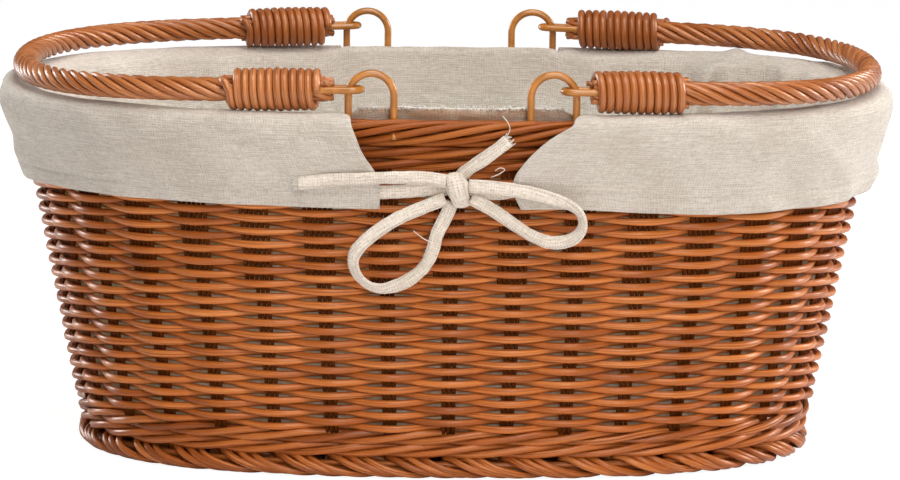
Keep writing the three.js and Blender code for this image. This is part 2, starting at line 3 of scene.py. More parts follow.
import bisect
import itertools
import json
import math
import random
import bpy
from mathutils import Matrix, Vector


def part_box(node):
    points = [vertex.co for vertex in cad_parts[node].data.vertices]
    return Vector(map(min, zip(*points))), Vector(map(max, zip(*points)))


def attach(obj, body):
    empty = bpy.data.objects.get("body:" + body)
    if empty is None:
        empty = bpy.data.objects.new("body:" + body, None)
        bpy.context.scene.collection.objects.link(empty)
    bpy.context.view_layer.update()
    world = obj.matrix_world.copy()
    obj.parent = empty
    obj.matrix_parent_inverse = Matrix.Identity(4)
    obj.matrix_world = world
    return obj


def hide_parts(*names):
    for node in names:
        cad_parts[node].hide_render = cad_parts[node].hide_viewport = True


bl_info = {
    "name": "Lined wicker basket",
    "version": (1, 0, 0),
    "blender": (4, 5, 0),
    "location": "View3D > Sidebar > Basket",
    "description": "Weaves an oval basket and dresses it with hoop handles and a tied linen liner",
    "category": "Object",
}

import bmesh
import bpy
import numpy as np
from bpy.props import FloatProperty, FloatVectorProperty, IntProperty, PointerProperty
from mathutils import Matrix, Vector, noise

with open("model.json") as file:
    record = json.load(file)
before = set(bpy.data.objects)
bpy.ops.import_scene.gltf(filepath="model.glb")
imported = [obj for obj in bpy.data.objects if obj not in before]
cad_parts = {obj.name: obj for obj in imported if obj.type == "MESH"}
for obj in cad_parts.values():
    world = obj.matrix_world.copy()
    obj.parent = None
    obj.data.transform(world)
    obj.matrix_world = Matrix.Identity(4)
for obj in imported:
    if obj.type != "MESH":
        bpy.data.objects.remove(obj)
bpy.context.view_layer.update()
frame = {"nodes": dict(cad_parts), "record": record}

MM = 0.001
TURN = 2 * math.pi

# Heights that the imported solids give
FOOT_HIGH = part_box("foot_border")[1].z
BASE_WALE_LOW, BASE_WALE_HIGH = (corner.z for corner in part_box("base_wale"))
SIDE_LOW, SIDE_HIGH = (corner.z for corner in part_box("woven_side"))
TOP_WALE_LOW, TOP_WALE_HIGH = (corner.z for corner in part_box("top_wale"))
RIM_LOW, RIM_HIGH = (corner.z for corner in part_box("rim_border"))
CUFF_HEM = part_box("liner_cuff")[0].z
FLOOR_CLOTH = sum(corner.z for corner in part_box("liner_floor")) / 2
HINGES = {joint["child"]: Vector(joint["pos_m"]) for joint in frame["record"]["behaviour"]["joints"]}
FITTINGS_MIDDLE = (HINGES["handle_left"].x + HINGES["handle_right"].x) / 2
HANDLE_Y = sum(corner.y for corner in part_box("staple_back_right")) / 2
KNOT_AT = sum(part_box("tie_knot"), Vector()) / 2 + Vector((0, 0, 2 * MM))

# Places that the solids share with this file
STAPLE_RADIUS = 10 * MM
GAP_HALF_WIDTH = 53 * MM
UPRIGHTS = 36
WEAVER_ROWS = 40
MIDDLE_OF_WALL = -4 * MM

# The upright at which a rod that goes all the way round meets its own end
FIRST_UPRIGHT = 11


def length(name, description, millimetres):
    return FloatProperty(name=name, description=description, default=millimetres * MM, unit="LENGTH")


def number(name, description, default, low, high):
    return IntProperty(name=name, description=description, default=default, min=low, max=high)


def colour(name, description, default):
    return FloatVectorProperty(
        name=name, description=description, default=default, subtype="COLOR", size=3, min=0, max=1
    )


class BasketSizes(bpy.types.PropertyGroup):
    """Sizes of the strands, the wire and the cloth."""

    weaver: length("Weaver", "Thickness of a weaving strand", 3.55)
    weave_depth: length("Weave depth", "How far a weaver swings out and in from the uprights", 3.2)
    upright_rod: length("Upright rod", "Thickness of one rod of an upright", 2)
    wale_rod: length("Wale rod", "Thickness of a rod of the wales", 3.4)
    rim_rod: length("Rim rod", "Thickness of a rod of the rim border", 3)
    foot_rod: length("Foot rod", "Thickness of a rod of the foot border", 3.1)
    foot_rods: number("Foot rods", "Rods that turn down round the foot", 108, 20, 160)
    rope_strand: length("Rope strand", "Thickness of a strand of the handles", 3.05)
    rope_strands: number("Rope strands", "Strands twisted into a handle", 7, 3, 12)
    binding: length("Binding", "Thickness of the strand round a handle's end", 3.5)
    staple_wire: length("Staple wire", "Thickness of the staples", 3.3)
    eye_wire: length("Eye wire", "Thickness of the eyes on the handles", 3.2)
    cloth: length("Cloth", "Thickness of the linen", 0.9)
    tape_width: length("Tape width", "Width of the tie", 6)
    tape_thickness: length("Tape thickness", "Thickness of the tie", 2.3)


class BasketColours(bpy.types.PropertyGroup):
    """Colours of the finishes."""

    wicker: colour("Wicker", "Main colour of the stained willow", (0.5, 0.128, 0.018))
    wicker_light: colour("Light wicker", "Palest strands", (0.7, 0.24, 0.055))
    wicker_dark: colour("Dark wicker", "Darkest strands and grooves", (0.17, 0.034, 0.005))
    upright: colour("Upright", "Colour of the rods that the weavers pass round", (0.17, 0.043, 0.007))
    wire: colour("Wire", "Coating of the staples and eyes", (0.52, 0.19, 0.026))
    linen: colour("Linen", "Main colour of the liner", (0.71, 0.63, 0.545))
    linen_dark: colour("Dark linen", "Flecks and slubs of the liner", (0.36, 0.3, 0.24))
    # Painted shade: the colour of the strip along the raw edge at the front, standing in for the shade under
    # the rim
    edge_shade: colour("Linen edge shade", "Strip along the raw edge at the front", (0.32, 0.15, 0.06))
    thread: colour("Thread", "Sewing thread", (0.74, 0.68, 0.6))


# The oval plan


def walked(points):
    """How far along a line each of its points lies."""
    steps = ((after - before).length for before, after in zip(points, points[1:]))
    return list(itertools.accumulate(steps, initial=0.0))


def locate(lengths, wanted):
    """The stretch of a line that a distance along it falls in, and the share of that stretch."""
    high = min(max(bisect.bisect_right(lengths, wanted), 1), len(lengths) - 1)
    low = high - 1
    return low, (wanted - lengths[low]) / (lengths[high] - lengths[low])


class Oval:
    """The outer face of the wall: an oval that grows as it rises."""

    power = 2.5
    half_length = 165.6 * MM
    half_depth = 113 * MM
    lean = 0.2
    samples = 2880

    def __init__(self):
        spots = [self.spot(TURN * n / self.samples, 0) for n in range(self.samples + 1)]
        self.lengths = walked(spots)
        self.girth = self.lengths[-1]

    @staticmethod
    def signed_power(value, power):
        return math.copysign(abs(value) ** power, value)

    def halves(self, height):
        return self.half_length + self.lean * height, self.half_depth + self.lean * height

    def spot(self, angle, height):
        length, depth = self.halves(height)
        x = length * self.signed_power(math.sin(angle), 2 / self.power)
        y = -depth * self.signed_power(math.cos(angle), 2 / self.power)
        return Vector((x, y, height))

    def angle(self, share):
        low, part = locate(self.lengths, (share % 1.0) * self.girth)
        return TURN * (low + part) / self.samples

    def normal(self, spot, height):
        length, depth = self.halves(height)
        x = self.signed_power(spot.x / length, self.power - 1) / length
        y = self.signed_power(spot.y / depth, self.power - 1) / depth
        return Vector((x, y, 0)).normalized()

    def point(self, share, height, outward):
        """The point a share of the way round from the front middle, a distance outside the wall."""
        spot = self.spot(self.angle(share), height)
        return spot + self.normal(spot, height) * outward

    def share_at(self, x, height, outward):
        """The share, up to a quarter of the way round, at which the wall is a distance x from the middle."""
        low, high = 0.0, 0.25
        for _ in range(30):
            middle = (low + high) / 2
            if self.point(middle, height, outward).x < x:
                low = middle
            else:
                high = middle
        return low


OVAL = Oval()
LINER_GIRTH = OVAL.girth * 1.16
SEAM_GIRTH = OVAL.girth * 1.15


def waver(x, y, z):
    """A smooth random value from -1 to 1 that changes with the place given."""
    return noise.noise(Vector((x, y, z)))


def bell(value, middle, width):
    """1 at the middle, falling to nothing a few widths away on both sides."""
    return math.exp(-(((value - middle) / width) ** 2))


# Rods and strands


class Rod:
    """One rod: the points it follows, its thickness along them and whether it closes on itself."""

    def __init__(self, points, closed=False, radii=None):
        self.points = points
        self.closed = closed
        self.radii = radii or [1.0] * len(points)

    def length(self):
        return walked(self.points)[-1]


def link(thing):
    bpy.context.scene.collection.objects.link(thing)
    return thing


def rods_mesh(name, rods, diameter, sides):
    """One mesh of round rods, with a texture map in metres along and a share round each rod."""
    curve = bpy.data.curves.new(name, "CURVE")
    curve.dimensions = "3D"
    curve.bevel_depth = diameter / 2
    curve.bevel_resolution = (sides - 4) // 2
    for rod in rods:
        spline = curve.splines.new("POLY")
        spline.points.add(len(rod.points) - 1)
        spline.points.foreach_set("co", [value for point in rod.points for value in (*point, 1)])
        spline.points.foreach_set("radius", rod.radii)
        spline.use_cyclic_u = rod.closed
    holder = link(bpy.data.objects.new(name, curve))
    mesh = bpy.data.meshes.new_from_object(holder)
    bpy.data.objects.remove(holder)
    bpy.data.curves.remove(curve)
    mesh.name = name

    draw = random.Random(name)
    counts = [len(rod.points) * sides for rod in rods]
    tint = np.repeat([draw.random() for _ in rods], counts)
    lengths = np.repeat([rod.length() for rod in rods], counts)
    corners = np.empty(len(mesh.loops), dtype=np.int32)
    mesh.loops.foreach_get("vertex_index", corners)
    layer = mesh.uv_layers[0]
    texture = np.empty(len(mesh.loops) * 2, dtype=np.float32)
    layer.uv.foreach_get("vector", texture)
    texture[0::2] *= lengths[corners]
    layer.uv.foreach_set("vector", texture)
    strand = mesh.attributes.new("strand", "FLOAT", "POINT")
    strand.data.foreach_set("value", tint.astype(np.float32))
    return mesh


def mesh_of(shape, name):
    """A mesh of a shape, which isn't needed after that."""
    mesh = bpy.data.meshes.new(name)
    shape.to_mesh(mesh)
    shape.free()
    return mesh


def close_ends(mesh):
    shape = bmesh.new()
    shape.from_mesh(mesh)
    ends = [edge for edge in shape.edges if edge.is_boundary]
    bmesh.ops.holes_fill(shape, edges=ends, sides=0)
    bmesh.ops.recalc_face_normals(shape, faces=shape.faces)
    shape.to_mesh(mesh)
    shape.free()


def finish_piece(mesh, material, body, nodes=()):
    """A piece of the object, smooth, in its material and riding on its body."""
    mesh.materials.clear()
    mesh.materials.append(material)
    mesh.shade_smooth()
    piece = link(bpy.data.objects.new(mesh.name, mesh))
    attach(piece, body)
    if nodes:
        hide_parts(*nodes)
    return piece


def rods_piece(name, rods, diameter, material, nodes=(), sides=8, body="basket"):
    mesh = rods_mesh(name, rods, diameter, sides)
    close_ends(mesh)
    return finish_piece(mesh, material, body, nodes)


def smooth_line(points, spacing):
    """Points at about an even spacing on a smooth line through the given ones."""
    padded = [2 * points[0] - points[1], *points, 2 * points[-1] - points[-2]]
    fine = []
    pieces = 16
    for before, start, end, after in zip(padded, padded[1:], padded[2:], padded[3:]):
        for n in range(pieces):
            t = n / pieces
            pull = (end - before) / 2
            push = (after - start) / 2
            fine.append(
                start * (2 * t**3 - 3 * t**2 + 1)
                + pull * (t**3 - 2 * t**2 + t)
                + end * (3 * t**2 - 2 * t**3)
                + push * (t**3 - t**2)
            )
    fine.append(points[-1].copy())
    reach = walked(fine)
    count = max(2, round(reach[-1] / spacing))
    line = []
    for n in range(count + 1):
        low, part = locate(reach, reach[-1] * n / count)
        line.append(fine[low].lerp(fine[low + 1], part))
    return line


def tangents(points):
    return [
        (points[min(n + 1, len(points) - 1)] - points[max(n - 1, 0)]).normalized()
        for n in range(len(points))
    ]


# Finishes


class Socket:
    """A shader value that can stand in a sum."""

    def __init__(self, nodes, output):
        self.nodes = nodes
        self.output = output

    def __add__(self, other):
        return self.nodes.sum("ADD", self, other)

    def __mul__(self, other):
        return self.nodes.sum("MULTIPLY", self, other)

    def __sub__(self, other):
        return self.nodes.sum("SUBTRACT", self, other)

    def __rsub__(self, other):
        return self.nodes.sum("SUBTRACT", other, self)


class Nodes:
    """A tree of shader nodes."""

    def __init__(self, tree):
        self.tree = tree

    def feed(self, socket, value):
        if isinstance(value, Socket):
            self.tree.links.new(value.output, socket)
        else:
            socket.default_value = value

    def node(self, kind, settings, inputs, output=0):
        made = self.tree.nodes.new("ShaderNode" + kind)
        for name, value in settings.items():
            setattr(made, name, value)
        for key, value in inputs.items():
            self.feed(made.inputs[key], value)
        return Socket(self, made.outputs[output])

    def sum(self, operation, *values):
        return self.node("Math", {"operation": operation}, dict(enumerate(values)))


class Finish(Nodes):
    """A material built from nodes on one shader."""

    def __init__(self, name):
        self.material = bpy.data.materials.new(name)
        self.material.use_nodes = True
        super().__init__(self.material.node_tree)
        self.shader = self.tree.nodes["Principled BSDF"]

    def set(self, **values):
        for name, value in values.items():
            title = name.replace("_", " ").title().replace("Ior", "IOR")
            self.feed(self.shader.inputs[title], value)

    def mix(self, factor, first, second):
        ends = [value if isinstance(value, Socket) else (*value, 1) for value in (first, second)]
        return self.node("Mix", {"data_type": "RGBA"}, {0: factor, 6: ends[0], 7: ends[1]}, 2)

    def between(self, value, low, high, to_low=0.0, to_high=1.0):
        inputs = {"Value": value, 1: low, 2: high, 3: to_low, 4: to_high}
        return self.node("MapRange", {"interpolation_type": "SMOOTHSTEP"}, inputs)

    def texture_map(self):
        """The piece's own map, as a pair of values."""
        split = self.node("SeparateXYZ", {}, {0: self.node("TexCoord", {}, {}, 2)})
        across = Socket(self, split.output.node.outputs[1])
        return split, across

    def place(self):
        """Where a point lies on the piece."""
        return self.node("TexCoord", {}, {}, 3)

    def clouds(self, vector, scale, detail=2.0, roughness=0.5):
        inputs = {"Vector": vector, "Scale": scale, "Detail": detail, "Roughness": roughness}
        return self.node("TexNoise", {}, inputs)

    def streaks(self, x, y, z, detail=2.0, roughness=0.5):
        """Clouds drawn out by how fast each of the three values runs."""
        vector = self.node("CombineXYZ", {}, {0: x, 1: y, 2: z})
        return self.clouds(vector, 1.0, detail, roughness)

    def wave(self, along, spacing, drift):
        """A row of threads: 1 in the gap between two of them, 0 on a thread."""
        angle = self.sum("SINE", along * (TURN / spacing) + drift * 9)
        return angle * 0.5 + 0.5

    def bump(self, height, strength, distance):
        inputs = {"Strength": strength, "Distance": distance, "Height": height}
        return self.node("Bump", {}, inputs)


def toned(shade, tone):
    """One colour with its red, green and blue each made weaker or stronger."""
    return tuple(value * part for value, part in zip(shade, tone))


def scaled(shade, amount):
    """One colour made darker or lighter."""
    return tuple(min(1.0, value * amount) for value in shade)


def wicker_finish(name, main, light, dark, gloss):
    """Stained willow: lengthwise grooves, strands of many shades and a soft gloss."""
    finish = Finish(name)
    along, round_it = finish.texture_map()
    strand = finish.node("Attribute", {"attribute_name": "strand"}, {}, 2)
    grooves = finish.streaks(along * 5, round_it * 15, strand * 61, 3.0, 0.6)
    streaks = finish.streaks(along * 22, round_it * 4, strand * 83)
    patches = finish.clouds(finish.place(), 34.0)
    groove = finish.between(grooves, 0.36, 0.56)
    shade = strand * 0.3 + streaks * 0.36 + patches * 0.26 + 0.17
    pale = finish.mix(finish.between(shade, 0.42, 0.92), main, light)
    deep = finish.mix(finish.between(shade, 0.3, 0.62), dark, pale)
    # Painted shade: the grooves are painted darker where the bump sinks, as well as being bumped
    lined = finish.mix(groove, finish.mix(0.42, dark, main), deep)
    finish.set(
        base_color=lined,
        roughness=finish.between(grooves, 0.3, 0.7, 0.46, 0.3),
        normal=finish.bump(grooves + streaks * 0.15, 0.7, 0.5 * MM),
    )
    finish.set(coat_weight=gloss, coat_roughness=0.24)
    finish.set(specular_ior_level=gloss, specular_tint=(1, 0.8, 0.6, 1))


def wire_finish(main):
    """Coated wire, a little worn and uneven."""
    finish = Finish("coated_wire")
    place = finish.place()
    blotches = finish.clouds(place, 160.0, 3.0)
    specks = finish.clouds(place, 900.0)
    finish.set(
        base_color=finish.mix(finish.between(blotches, 0.35, 0.7), scaled(main, 0.72), main),
        roughness=finish.between(blotches, 0.3, 0.7, 0.28, 0.42),
        normal=finish.bump(specks, 0.12, 0.15 * MM),
    )
    finish.set(coat_weight=0.3, coat_roughness=0.15)


def stick_finish(main, dark):
    """The sticks of the base: plain stained wood."""
    finish = Finish("base_sticks")
    grain = finish.clouds(finish.place(), 260.0, 4.0)
    finish.set(
        base_color=finish.mix(grain, dark, main),
        roughness=finish.between(grain, 0.3, 0.7, 0.55, 0.38),
        normal=finish.bump(grain, 0.35, 0.3 * MM),
    )


def thread_finish(main):
    finish = Finish("sewing_thread")
    grain = finish.clouds(finish.place(), 2600.0)
    finish.set(base_color=finish.mix(grain, scaled(main, 0.8), main))
    finish.set(roughness=0.85)


def linen_finish(name, light, dark, height, mark, mark_colour, glow):
    """Plain-woven linen with uneven threads, open pinholes and flecks; height is one unit up the map."""
    finish = Finish(name)
    along, share_up = finish.texture_map()
    up = share_up * height
    weft = finish.streaks(along * 230, up * 1500, 0.0, 2.0, 0.6)
    warp = finish.streaks(along * 1500, up * 230, 7.0, 2.0, 0.6)
    slubs = finish.streaks(along * 60, up * 900, 4.0)
    flecks = finish.streaks(along * 700, up * 1300, 3.0, 1.0)
    drift = finish.streaks(along * 70, up * 70, 2.0)
    mottle = finish.clouds(finish.place(), 30.0, 3.0)
    holes = finish.wave(along, 1.15 * MM, drift) * finish.wave(up, 1.05 * MM, drift)
    open_weave = finish.between(holes, 0.45, 0.8) * finish.between(flecks + drift * 0.5, 0.6, 0.85)
    tone = weft * 0.42 + warp * 0.26 + slubs * 0.26 + mottle * 0.24
    ground = finish.mix(finish.between(tone, 0.44, 0.74), toned(light, (0.73, 0.695, 0.65)), light)
    flecked = finish.mix(finish.between(flecks, 0.64, 0.74), ground, finish.mix(0.6, ground, dark))
    pierced = finish.mix(open_weave * 0.8, flecked, dark)
    # On the liner the mark is painted shade along the raw edge at the front; on the tape it is the sewn seam
    marked = finish.mix(mark(finish, along, share_up), pierced, mark_colour)
    finish.set(base_color=marked, normal=finish.bump(weft + warp - holes * 0.4, 0.6, 0.5 * MM))
    finish.set(roughness=0.92, sheen_weight=0.1, specular_ior_level=0.2)
    finish.set(subsurface_weight=glow, subsurface_radius=(1, 0.85, 0.7), subsurface_scale=glow * 4 * MM)


def raw_edge_shade(finish, along, up):
    """Painted shade: the strip along the raw edge at the front, painted brown to stand in for the shade
    under the rim; the map starts at that edge.
    """
    beside = finish.sum("MINIMUM", along, LINER_GIRTH - along)
    patches = finish.streaks(along * 60, up * 160, 5.0)
    strip = finish.between(up, -8 * MM, -4 * MM) * finish.between(up, 0.3 * MM, -0.8 * MM)
    return strip * finish.between(beside, 46 * MM, 40 * MM) * finish.between(patches, 0.3, 0.65, 0.3, 0.8)


def tape_seam(finish, along, round_it):
    """The line where the folded tape is sewn shut, near one edge of its face."""
    distance = finish.sum("ABSOLUTE", round_it - 0.38)
    return finish.between(distance, 0.03, 0.008) * 0.45


# Each willow's name, its tone beside the main one, how dark its darkest strands and its painted groove shade
# are, and its gloss
WILLOWS = (
    ("stained_willow", (0.96, 0.93, 0.97), 1.0, 0.28),
    ("handle_willow", (0.84, 0.92, 1.3), 1.0, 0.5),
    ("foot_willow", (0.84, 0.79, 0.82), 0.7, 0.3),
    # The rim's willow is darker and less glossy: partly its rods' own colour, partly painted shade under the
    # cuff
    ("rim_willow", (0.62, 0.53, 0.42), 0.65, 0.16),
)
TAPE_GIRTH = 14 * MM


def finishes(context):
    """The materials of the basket, made once for the scene."""
    made = bpy.data.materials
    if "stained_willow" not in made:
        colours = context.scene.basket_colours
        main, deep, upright = tuple(colours.wicker), tuple(colours.wicker_dark), tuple(colours.upright)
        for name, tone, depth, gloss in WILLOWS:
            light = toned(colours.wicker_light, tone)
            wicker_finish(name, toned(main, tone), light, scaled(deep, depth), gloss)
        wicker_finish("upright_willow", upright, deep, scaled(upright, 0.4), 0.05)
        stick_finish(main, deep)
        wire_finish(tuple(colours.wire))
        # edge_shade is the painted shade of the strip along the raw edge at the front
        linen, fleck, edge_shade = tuple(colours.linen), tuple(colours.linen_dark), tuple(colours.edge_shade)
        # Painted light and shade: the bag takes a lighter copy of the linen and the cuff a darker copy,
        # standing in for light bounced inside the bag
        linen_finish("bag_linen", toned(linen, (1.04, 1.06, 1.07)), fleck, 1.0, raw_edge_shade, edge_shade, 0.8)
        linen_finish("cuff_linen", toned(linen, (0.925, 0.94, 0.96)), fleck, 1.0, raw_edge_shade, edge_shade, 0.3)
        linen_finish("tape_linen", scaled(linen, 1.16), fleck, TAPE_GIRTH, tape_seam, fleck, 0.4)
        thread_finish(tuple(colours.thread))
    return made


# Stage

CAMERA_LENS = 229
CAMERA_DISTANCE = 2.655
CAMERA_RISE = math.radians(8.15)
CAMERA_TURN = math.radians(-1.2)
CAMERA_ROLL = math.radians(0.7)
LOOK_AT = Vector((0, 0, 81)) * MM
AIM_AT = Vector((2.3, 0, 92.2)) * MM

# Each lamp's name, its place and size in metres and its power in watts
LAMPS = (
    ("left_window", (-1.2, 0.9, 0.5), 0.5, 11),
    ("right_window", (1.4, 0.4, 0.6), 0.5, 17),
    ("front_fill", (0.5, -2.0, 1.45), 1.0, 20),
    ("low_fill", (0.25, -2.5, 0.6), 0.9, 12),
    ("top_box", (0.1, -0.6, 1.7), 1.0, 23),
)
SURROUND_LIGHT = 0.1
FLOOR_GLOW = 1.24


def point_at(thing, target):
    thing.rotation_euler = (target - thing.location).to_track_quat("-Z", "Y").to_euler()


class BASKET_OT_stage(bpy.types.Operator):
    """Sets up the camera, the floor, the lamps and the white surround"""

    bl_idname = "basket.stage"
    bl_label = "Stage"

    def execute(self, context):
        scene = context.scene
        scene.view_settings.view_transform = "Standard"
        self.add_camera(scene)
        self.add_floor()
        for lamp in LAMPS:
            self.add_lamp(*lamp)
        self.light_world(scene)
        return {"FINISHED"}

    def add_camera(self, scene):
        lens = bpy.data.cameras.new("photo_camera")
        lens.lens = CAMERA_LENS
        lens.sensor_width = 36
        lens.clip_end = 20
        camera = link(bpy.data.objects.new("photo_camera", lens))
        away = Vector((0, -math.cos(CAMERA_RISE), math.sin(CAMERA_RISE)))
        camera.location = LOOK_AT + Matrix.Rotation(CAMERA_TURN, 3, "Z") @ away * CAMERA_DISTANCE
        point_at(camera, AIM_AT)
        camera.rotation_euler.rotate_axis("Z", CAMERA_ROLL)
        scene.camera = camera

    def add_floor(self):
        shape = bmesh.new()
        bmesh.ops.create_grid(shape, x_segments=1, y_segments=1, size=4)
        mesh = mesh_of(shape, "floor")
        finish = Finish("white_floor")
        finish.set(base_color=(0.9, 0.9, 0.9, 1), roughness=0.8)
        seen = finish.node("LightPath", {}, {})
        glow = finish.node("Emission", {}, {"Color": (1, 1, 1, 1), "Strength": FLOOR_GLOW})
        surface = Socket(finish, finish.shader.outputs[0])
        blended = finish.node("MixShader", {}, {0: seen * 0.75, 1: surface, 2: glow})
        finish.feed(finish.tree.nodes["Material Output"].inputs[0], blended)
        mesh.materials.append(finish.material)
        link(bpy.data.objects.new("floor", mesh))

    def add_lamp(self, name, place, size, power):
        lamp = bpy.data.lights.new(name, "AREA")
        lamp.shape = "RECTANGLE"
        lamp.size = size
        lamp.size_y = size
        lamp.energy = power
        holder = link(bpy.data.objects.new(name, lamp))
        holder.location = place
        point_at(holder, LOOK_AT)

    def light_world(self, scene):
        """A white surround that is bright where it is seen and faint where it only lights."""
        world = bpy.data.worlds.new("white_surround")
        scene.world = world
        world.use_nodes = True
        nodes = Nodes(world.node_tree)
        path = nodes.node("LightPath", {}, {}, "Is Camera Ray")
        through = Socket(nodes, path.output.node.outputs["Is Transmission Ray"])
        seen = nodes.sum("MAXIMUM", path, through)
        strength = nodes.node("MapRange", {}, {0: seen, 3: SURROUND_LIGHT, 4: 1.0})
        background = world.node_tree.nodes["Background"]
        nodes.feed(background.inputs["Color"], (1, 1, 1, 1))
        nodes.feed(background.inputs["Strength"], strength)


# Tie

# Stretches of the tie, in millimetres from the middle of the knot
BAND_LEFT = (
    (-38, 4.4, -2.8), (-32.4, 3.8, -2.5), (-23, 3.2, -1.9),
    (-14, 2.7, -1.1), (-3, 2.6, 0), (0.5, 2, 4),
)
BAND_RIGHT = (
    (30, 4.2, -0.3), (23, 3, -1.6), (18, 2.8, -2.2),
    (12, 2.6, -2), (3, 2.4, 0.4), (-1, 0.4, 1.6),
)
TAIL_LEFT = (
    (-5.1, -2.4, 3.5), (-14, -3.2, 4.8), (-25, -3.6, 5), (-34, -3.4, 4.7),
    (-44, -2.8, 4), (-54, -1.4, 3.5), (-63, 0.4, 2.3), (-70, 2, 1.5),
)
TAIL_RIGHT = (
    (3.8, 1, 7.5), (6.6, 0.6, 9.7), (10.4, -0.4, 12.3),
    (14.6, -1.4, 15.5), (18.4, -2.4, 18.5), (22, -3, 21.5),
)
LOOP_LEFT = (
    (-5.1, 0, -4.7), (-14, -0.2, -8.1), (-27, 0, -14.1), (-38, 0.8, -21.9),
    (-44.6, 2, -29.7), (-44.4, 3.2, -37), (-39.6, 4.2, -43), (-32.4, 4.6, -45.2),
    (-22.6, 4, -42.3), (-14.6, 3, -35.9), (-10.6, 2, -28.3), (-8.6, 1.2, -20.5),
    (-5, 0.6, -12.9), (-2, 0.2, -6.1),
)
LOOP_RIGHT = (
    (5.1, -2, 1.3), (16.4, -2.6, 0.9), (33, -2.8, -1.6), (47.4, -2, -5.9),
    (54, -0.6, -10.7), (55, 0.8, -17.3), (50.6, 2, -22.3), (42, 2.8, -23.9),
    (33.4, 2.8, -21.1), (25, 2.2, -15.9), (16, 1.2, -9.7), (6.1, 0.4, -4.3),
)
KNOT_WRAP = (
    (-1.2, 3.2, 4.2), (-1.5, 0.2, 6), (-1.3, -3.4, 5.2), (-0.6, -5, 2.2),
    (0.4, -5, -1.4), (1.5, -3.8, -4.4), (2.4, -1.2, -6), (2.8, 2.2, -5.2),
)
KNOT_CORE = Vector((5.2, 4.2, 5.6)) * MM
# Long loose threads: one at the end of the right tail, one curled beside it, one on the left loop
LOOSE_THREADS = (
    ((21, -3.4, 23), (22.6, -3.6, 26.5), (21.8, -3.8, 29.5), (19.4, -3.8, 32.5)),
    ((14.6, -2.8, 5.4), (18, -4, 7), (20.6, -4.4, 9), (18.6, -4.2, 9.8), (16.4, -3.4, 8.4)),
    ((-11, -0.6, -24), (-15, -2.4, -21.6), (-19, -3, -18.4)),
)
TAPE_SPACING = 1.5 * MM
TAPE_SIDES = 12
FRAY_SPACING = 0.5 * MM


def from_knot(route):
    return [KNOT_AT + Vector(point) * MM for point in route]


def tape_mesh(name, line, width, thickness, roll=None):
    """A flat tape with soft edges along a line; roll turns it about the line, in radians."""
    mesh = rods_mesh(name, [Rod(line)], width, TAPE_SIDES)
    for n, (point, ahead) in enumerate(zip(line, tangents(line))):
        part = n / (len(line) - 1)
        face = Vector((0, -1, 0))
        face = (face - ahead * face.dot(ahead)).normalized()
        face = Matrix.Rotation(roll(part) if roll else 0.0, 3, ahead) @ face
        side = ahead.cross(face)
        ruffle = 1 + 0.07 * noise.noise(point * 260) + 0.04 * noise.noise(point * 700)
        for k in range(TAPE_SIDES):
            angle = TURN * k / TAPE_SIDES
            across = side * (math.cos(angle) * width / 2 * ruffle)
            bulge = face * (math.copysign(abs(math.sin(angle)) ** 0.7, math.sin(angle)) * thickness / 2)
            wrinkle = face * (0.16 * MM * noise.noise(point * 520 + Vector((k, 0, 0))))
            mesh.vertices[n * TAPE_SIDES + k].co = point + across + bulge + wrinkle
    close_ends(mesh)
    return mesh


